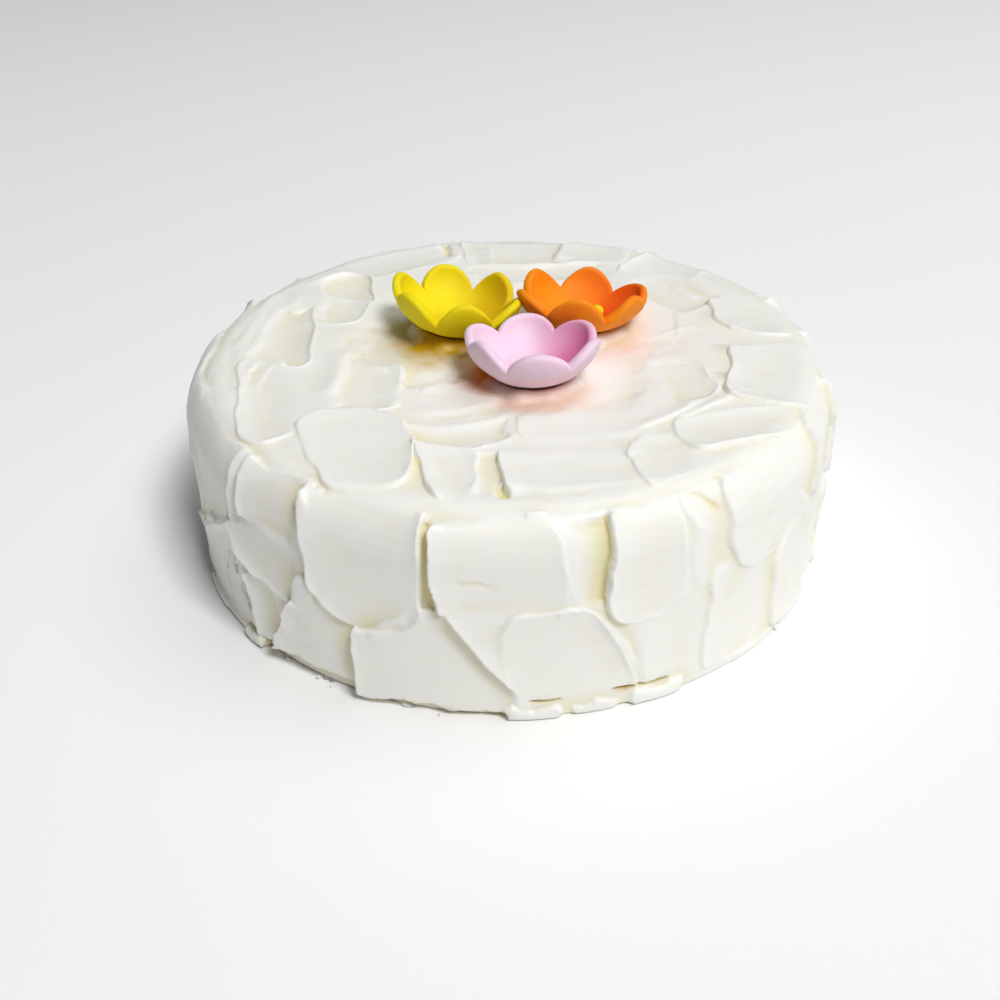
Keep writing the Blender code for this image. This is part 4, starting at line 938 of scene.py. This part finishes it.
@dataclass(frozen=True)
class SugarPaste:
    """Coloured gum paste, cut out, cupped and dried: matt, a little see-through at the edges, with
    a faint powdery grain of the starch that it was rolled in."""

    name: str
    colour: str
    dusted: str
    # inner: painted shade, reflected colour and the glow of light come through the paste, laid on by
    # the cup attribute
    inner: str
    grain: float = 0.6
    clouds: float = 6.0
    light_depth: float = 1.6

    def make(self) -> bpy.types.Material:
        """Builds the material, which is deepest in colour, as painted shade, reflected colour and
        glow, where the "cup" attribute is 1.

        Returns:
            The material.
        """
        made, tree, shader = start_material(self.name, Gloss.POWDERED)
        place = add_node(tree, "ShaderNodeTexCoord").outputs["Object"]
        cloud = add_node(tree, "ShaderNodeTexNoise", {"Scale": 1 / (self.clouds * MM), "Detail": 3.0},
                         {"Vector": place})
        share = add_node(tree, "ShaderNodeMapRange",
                         {"From Min": 0.35, "From Max": 0.75, "To Min": 0.0, "To Max": 0.6},
                         {"Value": cloud.outputs["Fac"]})
        mixed = add_node(tree, "ShaderNodeMix", {"data_type": "RGBA", 6: linear(self.colour),
                                                 7: linear(self.dusted)},
                         {0: share.outputs[0]})
        # Painted shade, reflected colour and glow: the colour deepens in the flower's middle, where
        # the hollow lies in shade and throws its own colour back on itself, and on the petals that
        # face away from the light, which glow with what comes through them.
        cup = add_node(tree, "ShaderNodeAttribute", {"attribute_name": "cup"})
        mixed = add_node(tree, "ShaderNodeMix", {"data_type": "RGBA", 7: linear(self.inner)},
                         {0: cup.outputs["Fac"], 6: mixed.outputs[2]})
        tree.links.new(mixed.outputs[2], shader.inputs["Base Color"])
        shader.inputs["Subsurface Weight"].default_value = 0.4
        shader.inputs["Subsurface Radius"].default_value = (1.0, 0.5, 0.35)
        shader.inputs["Subsurface Scale"].default_value = self.light_depth * MM
        shader.inputs["Specular IOR Level"].default_value = 0.35
        shader.inputs["IOR"].default_value = 1.45
        grain = add_node(tree, "ShaderNodeTexNoise", {"Scale": 1 / (self.grain * MM), "Detail": 2.0},
                         {"Vector": place})
        bump = add_node(tree, "ShaderNodeBump", {"Strength": 0.4, "Distance": 0.2 * MM},
                        {"Height": grain.outputs["Fac"]})
        tree.links.new(bump.outputs[0], shader.inputs["Normal"])
        return made


def keep_evaluated(made: bpy.types.Object) -> None:
    """Puts the mesh that the modifiers make in the place of the object's own.

    Args:
        made: The object, whose modifiers are removed.
    """
    bpy.context.view_layer.update()
    graph = bpy.context.evaluated_depsgraph_get()
    result = bpy.data.meshes.new_from_object(made.evaluated_get(graph))
    made.modifiers.clear()
    made.data = result


def add_object(name: str, mesh: bpy.types.Mesh) -> bpy.types.Object:
    """Links an object of that name for the mesh, at the origin."""
    made = bpy.data.objects.new(name, mesh)
    bpy.context.scene.collection.objects.link(made)
    return made


def new_tree(name: str, inputs: dict) -> tuple:
    """Starts a Geometry Nodes tree that gives out geometry.

    Args:
        name: The tree's name.
        inputs: The kind of each named input, such as "Int".

    Returns:
        The tree, and its inputs by name.
    """
    tree = bpy.data.node_groups.new(name, "GeometryNodeTree")
    for label, kind in inputs.items():
        tree.interface.new_socket(label, in_out="INPUT", socket_type="NodeSocket" + kind)
    tree.interface.new_socket("Geometry", in_out="OUTPUT", socket_type="NodeSocketGeometry")
    return tree, add_node(tree, "NodeGroupInput").outputs


def run_tree(made: bpy.types.Object, tree: bpy.types.NodeTree, sizes: dict) -> None:
    """Runs a Geometry Nodes tree on an object and keeps the mesh that it makes.

    Args:
        made: The object.
        tree: The tree.
        sizes: Values of the tree's inputs by name.
    """
    modifier = made.modifiers.new(tree.name, "NODES")
    modifier.node_group = tree
    for item in tree.interface.items_tree:
        if item.in_out == "INPUT" and item.name in sizes:
            modifier[item.identifier] = sizes[item.name]
    keep_evaluated(made)


def hand_over(made: bpy.types.Object, node: str) -> None:
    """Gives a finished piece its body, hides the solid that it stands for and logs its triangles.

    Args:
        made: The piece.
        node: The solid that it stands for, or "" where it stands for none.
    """
    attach(made, "root")
    if node:
        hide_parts(node)
    log.info("%s: %d triangles", made.name, sum(len(f.vertices) - 2 for f in made.data.polygons))


@dataclass(frozen=True)
class StainAndShade:
    """Colour that has run from a blossom into the icing, together with painted shade that the blossom
    casts, tinted by its reflected colour: an oval patch with an uneven edge.
    """

    x: float
    y: float
    wide: float
    deep: float
    seed: int
    strength: float

    def share(self, x: np.ndarray, y: np.ndarray) -> np.ndarray:
        """Works out how much of the colour is at each place.

        Args:
            x: Places to the right.
            y: Places to the back.

        Returns:
            The colour's share.
        """
        far = np.hypot((x - self.x) / self.wide, (y - self.y) / self.deep)
        far = far + 0.22 * wave(x, y, 11.0, self.seed) + 0.10 * wave(x, y, 4.0, self.seed + 1)
        return self.strength * np.clip(1.15 - far, 0, 1) ** 1.5


@dataclass
class Icing:
    """The iced cake: a drum with soft rim, its surface pressed by the knife marks.

    mustard       the stains left of the yellow blossom, with the painted shade that it casts, tinted yellow
    blush         the stain before the orange blossom, with painted colour that it reflects onto the icing
    bleed         how far from the pink blossom's middle its ring of stain and painted coloured shade
                  starts to fade
    ring_fade    over what width it fades
    orange_way    the side of that ring that is orange, in degrees, with the right at 0
    pink_way      the side that is pink
    slits         where sponge shows: degrees, height, half width and half height
    """

    around: int = AROUND
    side_step: float = SIDE_STEP
    top_step: float = TOP_STEP
    triangles: int = MOST_TRIANGLES
    mustard: tuple = (StainAndShade(-20, 2, 15, 15, 11, 1.2), StainAndShade(-24, 4, 24, 17, 14, 0.35))
    blush: StainAndShade = StainAndShade(33, -2, 13, 11, 13, 0.3)
    ring_reach: float = 13.0
    ring_fade: float = 5.5
    orange_way: float = 158.0
    pink_way: float = -80.0
    slits: tuple = ((-70, 5.3, 8.0, 0.6), (-85.5, 5.1, 4.0, 0.5), (-97, 1.2, 9, 1.2))

    def rows(self) -> np.ndarray:
        """Spaces the rows of points.

        Returns:
            Running lengths from the foot up the side and in across the top.
        """
        flat_start = RIM_START + rim_curve()[3][-1]
        across = RADIUS - RIM_INSET
        side_rows = np.linspace(0, flat_start, int(flat_start / self.side_step))
        top_rows = np.linspace(flat_start, flat_start + across, int(across / self.top_step))
        return np.concatenate([side_rows, top_rows[1:-1]])

    def build(self) -> bpy.types.Object:
        """Builds the mesh with its tint attributes.

        Returns:
            The object, thinned to its triangles.
        """
        run = self.rows()
        angle = np.linspace(0, 2 * math.pi, self.around, endpoint=False)
        run_grid, angle_grid = np.meshgrid(run, angle, indexing="ij")
        height = knife_relief(angle_grid, run_grid)
        r, z, out_r, out_z = smooth_form(run_grid)
        r = r + height * out_r - FOOT_ROUND * np.clip(1 - run_grid / FOOT_ROUND_HIGH, 0, 1) ** 2
        z = np.maximum(z + height * out_z, 0)
        x = r * np.cos(angle_grid)
        y = r * np.sin(angle_grid)
        tints = self.tints(angle_grid, run_grid, height, x, y)
        crown = (0.0, 0.0, float(z[-1].mean()))
        points = np.vstack([np.stack([x, y, z], -1).reshape(-1, 3), crown, (0.0, 0.0, 0.0)])
        made = add_object("buttercream_icing", self.skin(points, len(run)))
        for name, values in tints.items():
            kept = made.data.attributes.new(name, "FLOAT", "POINT")
            kept.data.foreach_set("value", np.append(values.reshape(-1), [0, 0]).astype(np.float32))
        total = sum(len(f.vertices) - 2 for f in made.data.polygons)
        if total > self.triangles:
            thin = made.modifiers.new("thin", "DECIMATE")
            thin.ratio = self.triangles / total
            keep_evaluated(made)
        made.data.shade_smooth()
        return made

    def skin(self, points: np.ndarray, rings: int) -> bpy.types.Mesh:
        """Joins the rings of points into a closed mesh.

        Args:
            points: Ring after ring from the foot to the crown, then the crown and the underside.
            rings: How many rings there are.

        Returns:
            The mesh, in metres.
        """
        j = np.arange(self.around)
        k = (j + 1) % self.around
        low = (np.arange(rings - 1) * self.around)[:, None]
        quads = np.stack([low + j, low + k, low + self.around + k, low + self.around + j], -1)
        last = (rings - 1) * self.around
        crown = np.stack([last + j, last + k, np.full_like(j, len(points) - 2)], -1)
        under = np.stack([k, j, np.full_like(j, len(points) - 1)], -1)
        corners = np.concatenate([quads.reshape(-1), crown.reshape(-1), under.reshape(-1)])
        sizes = np.concatenate([np.full(quads.size // 4, 4), np.full(2 * self.around, 3)])
        mesh = bpy.data.meshes.new("buttercream_icing")
        mesh.vertices.add(len(points))
        mesh.vertices.foreach_set("co", (points * MM).astype(np.float32).reshape(-1))
        mesh.loops.add(len(corners))
        mesh.loops.foreach_set("vertex_index", corners.astype(np.int32))
        mesh.polygons.add(len(sizes))
        starts = np.concatenate([[0], np.cumsum(sizes)[:-1]])
        mesh.polygons.foreach_set("loop_start", starts.astype(np.int32))
        mesh.update(calc_edges=True)
        mesh.validate()
        return mesh

    def tints(self, angle: np.ndarray, run: np.ndarray, height: np.ndarray, x: np.ndarray,
              y: np.ndarray) -> dict:
        """Works out the painted shade where the icing is deep, the stains with their painted coloured
        shade round the blossoms, and where the icing is thin over the sponge.

        Args:
            angle: Angle of each point round the cake.
            run: Running length of each point.
            height: Height of the knife work there.
            x: Place to the right.
            y: Place to the back.

        Returns:
            Values from 0 to 1 by attribute name.
        """
        # Painted shade: how far the icing lies below the mean of its neighbours, which turns hollows
        # yellow cream
        mean = height
        for step in (3, 5, 8):
            mean = (np.roll(mean, step, 1) + np.roll(mean, -step, 1) + mean) / 3
            padded = np.pad(mean, ((step, step), (0, 0)), mode="edge")
            mean = (padded[:-2 * step] + padded[2 * step:] + mean) / 3
        depth = np.clip((mean - height - 0.08) / 1.1, 0, 1) ** 0.8
        arc = angle_arc(angle)
        on_top = np.clip((run - RIM_START) / 6, 0, 1)
        # Stains run from the blossoms, with painted shade there tinted by the blossoms' reflected
        # colour: yellow left of the yellow blossom, an orange and a pink side of a ring round the pink
        # blossom, and a pale patch before the orange blossom
        yellow = np.maximum(*(stain.share(x, y) for stain in self.mustard)) * on_top
        pink_flower = BLOSSOMS[2]
        off = np.hypot(x - pink_flower.x, y - pink_flower.y) + 1.5 * wave(x, y, 9.0, 12)
        way = np.degrees(np.arctan2(y - pink_flower.y, x - pink_flower.x))
        ring = np.exp(-(np.maximum(off - self.ring_reach, 0) / self.ring_fade) ** 2)
        aside = np.abs((way - self.orange_way + 180) % 360 - 180)
        orange = ring * np.clip(1.5 - aside / 45, 0, 1) * on_top
        pink = np.maximum(0.8 * ring * np.clip(1.5 - np.abs(way - self.pink_way) / 60, 0, 1),
                          self.blush.share(x, y))
        sponge = np.zeros_like(run)
        for deg, z, half, high in self.slits:
            across = np.abs(arc - math.radians(deg + 90) * RADIUS) / half
            up = (run - z) / high
            sponge = np.maximum(sponge, np.exp(-up ** 2) * np.clip(2 * (1 - across), 0, 1))
        return {"depth": depth, "yellow_stain_and_shade": yellow, "pink_stain_and_shade": pink * on_top,
                "orange_stain_and_shade": orange,
                "sponge": sponge * np.clip(0.8 + wave(arc, run, 12.0, 31), 0, 1)}


@dataclass
class Blossom:
    """A cupped flower of six petals, punched from a sheet and dried in a mould.

    The petals are one sector of the shell, repeated round the middle by Geometry Nodes and welded.

    x, y       where it stands
    rest       height of the icing under it
    spin       how far it is turned, in degrees
    tip_x, _y  how far it leans over, in degrees
    length     from its middle to the tip of a petal, along the petal
    notch      the same to the bottom of a notch, as a share of length
    roundness  how full the petals are, from pointed at 2 to square at 0
    slope      how steep a petal is at its tip, in degrees
    growth     how late a petal turns up
    hinge      how far out a petal starts to bend by hand
    opens      the most that a petal is bent by hand, in degrees, and twists is the same sideways
    """

    name: str
    x: float
    y: float
    rest: float
    spin: float
    tip_x: float
    tip_y: float
    length: float
    notch: float
    roundness: float
    slope: float
    growth: float
    thick: float
    finish: SugarPaste
    seed: int
    petals: int = 6
    start: float = 5.0
    columns: int = 28
    rows: int = 26
    rim_rows: int = 8
    weld: float = 0.01
    hinge: float = 6.0
    opens: float = 5.0
    twists: float = 2.5

    def curve(self) -> tuple:
        """Works out the upper face of a petal, from the flower's middle to the tip.

        Returns:
            Running length, slope, radius and height.
        """
        run = np.linspace(0, self.length, 240)
        slope = np.radians(self.start + (self.slope - self.start) * (run / self.length) ** self.growth)
        step = np.diff(run)
        r = np.concatenate([[0], np.cumsum(np.cos(slope[:-1]) * step)])
        z = np.concatenate([[0], np.cumsum(np.sin(slope[:-1]) * step)])
        return run, slope, r, z

    def sector(self) -> bpy.types.Mesh:
        """Builds one petal's share of the shell, open only where it meets its neighbours.

        Returns:
            The mesh, whose "cup" attribute is 1 on the upper face.
        """
        run, slope, cup_r, cup_z = self.curve()
        half = math.pi / self.petals
        side = np.sin(np.linspace(-math.pi / 2, math.pi / 2, self.columns)) * half
        lobe = np.maximum(np.cos(self.petals / 2 * side), 0) ** self.roundness
        round_edge = self.thick / 2
        edge = self.length * (self.notch + (1 - self.notch) * lobe) - 0.75 * round_edge
        rows = [(share, 0.0, 0.0) for share in np.linspace(0, 1, self.rows)]
        turns = np.linspace(0, math.pi, self.rim_rows + 2)[1:-1]
        rows += [(1.0, math.sin(t), (1 - math.cos(t)) / 2) for t in turns]
        rows += [(share, 0.0, 1.0) for share in np.linspace(1, 0, self.rows)]
        made = bmesh.new()
        grid = []
        cup = []
        for share, out, deep in rows:
            at = np.clip(share * edge + out * 0.75 * round_edge, 0, self.length)
            tilt = np.interp(at, run, slope)
            r = np.interp(at, run, cup_r) + np.sin(tilt) * deep * self.thick
            z = np.interp(at, run, cup_z) + self.thick - np.cos(tilt) * deep * self.thick
            inner = 1 - deep
            if share == 0.0:
                cup.append(inner)
                middle = made.verts.new((0, 0, float(z[0]) * MM))
                grid.append([middle] * self.columns)
                continue
            grid.append([made.verts.new((float(a * math.cos(f)) * MM, float(a * math.sin(f)) * MM,
                                         float(b) * MM)) for a, b, f in zip(r, z, side)])
            cup += [inner] * self.columns
        for low, high in zip(grid, grid[1:]):
            for j in range(self.columns - 1):
                ring = [low[j], high[j], high[j + 1], low[j + 1]]
                corners = [v for i, v in enumerate(ring) if v is not ring[i - 1]]
                made.faces.new(corners)
        mesh = bpy.data.meshes.new(self.name + "_petal")
        made.to_mesh(mesh)
        made.free()
        mesh.attributes.new("cup", "FLOAT", "POINT").data.foreach_set("value", cup)
        return mesh

    def petal_tree(self, material: bpy.types.Material) -> bpy.types.NodeTree:
        """Builds the node tree that repeats the petal round the middle.

        Args:
            material: The flower's material.

        Returns:
            The tree, with the inputs Petals and Weld.
        """
        tree, given = new_tree(self.name + "_round",
                               {"Geometry": "Geometry", "Petals": "Int", "Weld": "Float"})
        turn = add_node(tree, "ShaderNodeMath", {"operation": "DIVIDE", 0: 2 * math.pi},
                        {1: given["Petals"]})
        index = add_node(tree, "GeometryNodeInputIndex")
        angle = add_node(tree, "ShaderNodeMath", {"operation": "MULTIPLY"},
                         {0: turn.outputs[0], 1: index.outputs[0]})
        spin = add_node(tree, "ShaderNodeCombineXYZ", None, {"Z": angle.outputs[0]})
        spots = add_node(tree, "GeometryNodePoints", None, {"Count": given["Petals"]})
        each = add_node(tree, "GeometryNodeInstanceOnPoints", None,
                        {"Points": spots.outputs[0], "Instance": given["Geometry"],
                         "Rotation": spin.outputs[0]})
        real = add_node(tree, "GeometryNodeRealizeInstances", None, {0: each.outputs[0]})
        weld = add_node(tree, "GeometryNodeMergeByDistance", None,
                        {"Geometry": real.outputs[0], "Distance": given["Weld"]})
        dressed = add_node(tree, "GeometryNodeSetMaterial", {"Material": material},
                           {"Geometry": weld.outputs[0]})
        add_node(tree, "NodeGroupOutput", None, {0: dressed.outputs[0]})
        return tree

    def build(self) -> bpy.types.Object:
        """Grows the flower, makes it uneven and sets it where its solid stands.

        Returns:
            The flower.
        """
        made = add_object(self.name + "_sugar", self.sector())
        run_tree(made, self.petal_tree(self.finish.make()),
                 {"Petals": self.petals, "Weld": self.weld * MM})
        self.shape_by_hand(made.data)
        made.data.shade_smooth()
        hand_over(made, self.name)
        return made

    def shape_by_hand(self, mesh: bpy.types.Mesh) -> None:
        """Opens, closes and twists each petal a little, then turns, tips and places the flower.

        Args:
            mesh: The flower's mesh, which is changed.
        """
        rng = random.Random(self.seed)
        open_by = np.radians([rng.uniform(-self.opens, self.opens) for _ in range(self.petals)])
        twist = np.radians([rng.uniform(-self.twists, self.twists) for _ in range(self.petals)])
        points = np.empty(len(mesh.vertices) * 3, np.float32)
        mesh.vertices.foreach_get("co", points)
        points = points.reshape(-1, 3).astype(float) / MM
        r = np.hypot(points[:, 0], points[:, 1])
        angle = np.arctan2(points[:, 1], points[:, 0])
        turn = 2 * math.pi / self.petals
        petal = np.round(angle / turn).astype(int) % self.petals
        aside = angle - np.round(angle / turn) * turn
        from_r = r - self.hinge
        from_z = points[:, 2] - self.thick
        share = np.clip(from_r / 10, 0, 1) ** 1.5 * np.cos(self.petals / 2 * aside) ** 2
        bend = open_by[petal] * share
        r = self.hinge + from_r * np.cos(bend) + from_z * np.sin(bend)
        z = self.thick + from_z * np.cos(bend) - from_r * np.sin(bend)
        angle = angle + twist[petal] * share
        points = np.stack([r * np.cos(angle), r * np.sin(angle), z], -1)
        points += 0.10 * np.stack([wave(points[:, 1], points[:, 2], 7.0, self.seed + i)
                                   for i in range(3)], -1)
        self.tint_cup(mesh, np.hypot(points[:, 0], points[:, 1]),
                      np.arctan2(points[:, 1], points[:, 0]) + math.radians(self.spin))
        turning = Euler([math.radians(a) for a in (self.tip_x, self.tip_y, self.spin)], "ZXY")
        points = points @ np.array(turning.to_matrix()).T
        points += (self.x, self.y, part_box(self.name)[0].z / MM - points[:, 2].min())
        mesh.vertices.foreach_set("co", (points * MM).astype(np.float32).reshape(-1))
        mesh.update()

    def tint_cup(self, mesh: bpy.types.Mesh, r: np.ndarray, way: np.ndarray) -> None:
        """Paints shade and glow: deepens the colour in the flower's middle, for its shade and the
        colour that it throws back on itself, and on the petals that face away from the light, for
        their shade and the glow of what comes through them.

        Args:
            mesh: The flower's mesh, whose "cup" attribute is 1 on the upper face.
            r: How far each point is from the middle.
            way: Direction of each point from the middle, seen from above.
        """
        cup = mesh.attributes["cup"].data
        values = np.empty(len(cup), np.float32)
        cup.foreach_get("value", values)
        aside = np.clip(np.cos(way - 0.2), 0, 1) ** 1.5 * np.clip((1.1 - r / r.max()) / 0.3, 0, 1)
        middle = 0.9 * np.exp(-(r / 5.5) ** 2)
        cup.foreach_set("value", (values * np.clip(0.9 * aside + middle, 0, 1)).astype(np.float32))


@dataclass
class Bead:
    """The small yellow ball of sugar in the middle of the orange blossom."""

    node: str = "orange_blossom_bead"
    dent: float = 0.12

    def build(self) -> bpy.types.Object:
        """Builds the ball, a little uneven, where its solid is.

        Returns:
            The ball.
        """
        low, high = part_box(self.node)
        shape = bmesh.new()
        bmesh.ops.create_uvsphere(shape, u_segments=40, v_segments=24, radius=(high - low).z / 2)
        for vertex in shape.verts:
            near = np.array(vertex.co) / MM
            out = float(wave(near[0:1] + near[2], near[1:2], 3.0, 5)[0]) * self.dent
            vertex.co *= 1 + out / 2
        bmesh.ops.translate(shape, verts=shape.verts, vec=(low + high) / 2)
        mesh = bpy.data.meshes.new(self.node)
        shape.to_mesh(mesh)
        shape.free()
        mesh.materials.append(SugarPaste("yellow_sugar_bead", "#F0DC10", "#E2C400", "#E2C400").make())
        mesh.shade_smooth()
        made = add_object("sugar_bead", mesh)
        hand_over(made, self.node)
        return made


@dataclass
class FootCrumbs:
    """Scraps of icing and sponge that lie against the foot of the cake."""

    radius: float = RADIUS - 0.2
    count: int = 110
    keep: float = 0.22
    size: float = 0.75
    seed: int = 12

    def tree(self, material: bpy.types.Material) -> bpy.types.NodeTree:
        """Builds the node tree that scatters the scraps.

        Args:
            material: The scraps' material.

        Returns:
            The tree, with the inputs Radius, Count, Keep, Size and Seed.
        """
        tree, given = new_tree("foot_crumbs", {"Radius": "Float", "Count": "Int", "Keep": "Float",
                                               "Size": "Float", "Seed": "Int"})
        ring = add_node(tree, "GeometryNodeMeshCircle", None,
                        {"Vertices": given["Count"], "Radius": given["Radius"]})
        jitter = add_node(tree, "FunctionNodeRandomValue",
                          {"data_type": "FLOAT_VECTOR", 0: Vector((-1.6, -1.6, 0.2)) * MM,
                           1: Vector((1.6, 1.6, 0.6)) * MM}, {"Seed": given["Seed"]})
        moved = add_node(tree, "GeometryNodeSetPosition", None,
                         {"Geometry": ring.outputs[0], "Offset": jitter.outputs[0]})
        some = add_node(tree, "FunctionNodeRandomValue", {"data_type": "BOOLEAN"},
                        {"Probability": given["Keep"], "Seed": given["Seed"]})
        turn = add_node(tree, "FunctionNodeRandomValue",
                        {"data_type": "FLOAT_VECTOR", 1: (6.3, 6.3, 6.3)}, {"Seed": given["Seed"]})
        scale = add_node(tree, "FunctionNodeRandomValue",
                         {"data_type": "FLOAT_VECTOR", 0: (0.4, 0.3, 0.3), 1: (1.5, 1.0, 0.7)},
                         {"Seed": given["Seed"]})
        scrap = add_node(tree, "GeometryNodeMeshIcoSphere", {"Subdivisions": 2},
                         {"Radius": given["Size"]})
        each = add_node(tree, "GeometryNodeInstanceOnPoints", None,
                        {"Points": moved.outputs[0], "Selection": some.outputs[3],
                         "Instance": scrap.outputs[0], "Rotation": turn.outputs[0],
                         "Scale": scale.outputs[0]})
        real = add_node(tree, "GeometryNodeRealizeInstances", None, {0: each.outputs[0]})
        dressed = add_node(tree, "GeometryNodeSetMaterial", {"Material": material},
                           {"Geometry": real.outputs[0]})
        add_node(tree, "NodeGroupOutput", None, {0: dressed.outputs[0]})
        return tree

    def build(self, material: bpy.types.Material) -> bpy.types.Object:
        """Scatters the scraps.

        Args:
            material: Their material.

        Returns:
            All of them as one mesh.
        """
        made = add_object("foot_crumbs", bpy.data.meshes.new("foot_crumbs"))
        run_tree(made, self.tree(material),
                 {"Radius": self.radius * MM, "Count": self.count, "Keep": self.keep,
                  "Size": self.size * MM, "Seed": self.seed})
        for vertex in made.data.vertices:
            vertex.co.z = max(vertex.co.z, 0.0)
        made.data.shade_smooth()
        hand_over(made, "")
        return made


@dataclass(frozen=True)
class SoftLight:
    """A soft square light, with its place and size in millimetres and its power in watts."""

    name: str
    place: tuple
    size: float
    power: float
    aim_height: float = 40.0

    def hang(self) -> None:
        """Hangs the light so that it faces the cake."""
        data = bpy.data.lights.new(self.name, "AREA")
        data.size = self.size * MM
        data.energy = self.power
        made = bpy.data.objects.new(self.name, data)
        bpy.context.scene.collection.objects.link(made)
        made.location = Vector(self.place) * MM
        aim = Vector((0, 0, self.aim_height * MM)) - made.location
        made.rotation_euler = aim.to_track_quat("-Z", "Y").to_euler()


@dataclass(frozen=True)
class Studio:
    """The pale floor, the soft lights and the camera.

    camera      its place, in millimetres
    pitch_down  how far it looks down, in degrees
    roll        how far it is turned about its own axis, in radians
    lens        its focal length on a 36 mm sensor
    ambient     strength of the light from all round
    backdrop    how bright the background looks to the camera
    """

    camera: tuple = (-3.08, -308.76, 206.70)
    pitch_down: float = 33.154
    roll: float = -0.0161
    lens: float = 43.99
    floor_radius: float = 1500.0
    ambient: float = 0.08
    backdrop: float = 1.0
    lights: tuple = (SoftLight("key", (1060, -1600, 2690), 950, 78.0),
                     SoftLight("overhead", (800, 500, 2300), 1800, 20.0))

    def build(self) -> None:
        """Builds all of it, and a world whose light is weaker than it looks to the camera."""
        self.add_camera()
        self.add_floor()
        for light in self.lights:
            light.hang()
        world = bpy.data.worlds.new("studio")
        world.use_nodes = True
        bpy.context.scene.world = world
        tree = world.node_tree
        seen = add_node(tree, "ShaderNodeLightPath").outputs["Is Camera Ray"]
        bright = add_node(tree, "ShaderNodeMapRange",
                          {"To Min": self.ambient, "To Max": self.backdrop}, {"Value": seen})
        back = tree.nodes["Background"]
        back.inputs["Color"].default_value = linear("#F4F6FA")
        tree.links.new(bright.outputs[0], back.inputs["Strength"])
        bpy.context.scene.view_settings.view_transform = "Standard"

    def add_camera(self) -> None:
        """Puts the camera where the photograph was taken from."""
        data = bpy.data.cameras.new("camera")
        data.lens = self.lens
        data.sensor_width = 36.0
        data.clip_start = 0.01
        made = bpy.data.objects.new("camera", data)
        bpy.context.scene.collection.objects.link(made)
        look = Matrix.Rotation(math.radians(90 - self.pitch_down), 4, "X")
        made.matrix_world = (Matrix.Translation(Vector(self.camera) * MM) @ look
                             @ Matrix.Rotation(self.roll, 4, "Z"))
        bpy.context.scene.camera = made

    def add_floor(self) -> None:
        """Lays the round pale floor that the cake stands on."""
        shape = bmesh.new()
        bmesh.ops.create_circle(shape, cap_ends=True, segments=128, radius=self.floor_radius * MM)
        mesh = bpy.data.meshes.new("floor")
        shape.to_mesh(mesh)
        shape.free()
        made, tree, shader = start_material("matt_white_paper", Gloss.DRY)
        shader.inputs["Base Color"].default_value = linear("#FAFAFA")
        place = add_node(tree, "ShaderNodeTexCoord").outputs["Object"]
        grain = add_node(tree, "ShaderNodeTexNoise", {"Scale": 400.0}, {"Vector": place})
        bump = add_node(tree, "ShaderNodeBump", {"Strength": 0.05, "Distance": 0.1 * MM},
                        {"Height": grain.outputs["Fac"]})
        tree.links.new(bump.outputs[0], shader.inputs["Normal"])
        mesh.materials.append(made)
        floor = add_object("floor", mesh)
        floor.location.z = -0.2 * MM


# Each paste's third colour is its painted shade and glow, deepest in the middle and on the petals that
# face away from the light
BLOSSOMS = (
    Blossom("yellow_blossom", -15.7, 12.0, 55.0, 41.5, -3.2, 7.0, 22.1, 0.70, 0.74, 91, 1.75, 2.4,
            SugarPaste("yellow_gum_paste", "#F2E106", "#ECD702", "#D6AC00"), 21),
    Blossom("orange_blossom", 20.7, 12.5, 55.0, 20.0, -7.2, 4.4, 21.5, 0.74, 0.80, 84, 1.85, 2.4,
            SugarPaste("orange_gum_paste", "#FF9408", "#FC8404", "#E64804"), 22),
    Blossom("pink_blossom", 6.1, -19.0, 54.2, 35.0, -6.0, 0.2, 21.6, 0.79, 0.80, 85, 1.50, 2.6,
            SugarPaste("pink_gum_paste", "#F4DAEC", "#F1D1E6", "#DC6AA2"), 23),
)


def main() -> None:
    """Builds the cake, its flowers and the studio, in order."""
    logging.basicConfig(level=logging.INFO, format="%(name)s %(message)s")
    cream = Buttercream().make()
    cake = Icing().build()
    cake.data.materials.append(cream)
    hand_over(cake, "frosted_cake")
    for flower in BLOSSOMS:
        flower.build()
    Bead().build()
    FootCrumbs().build(cream)
    Studio().build()


if __name__ == "__main__":
    main()
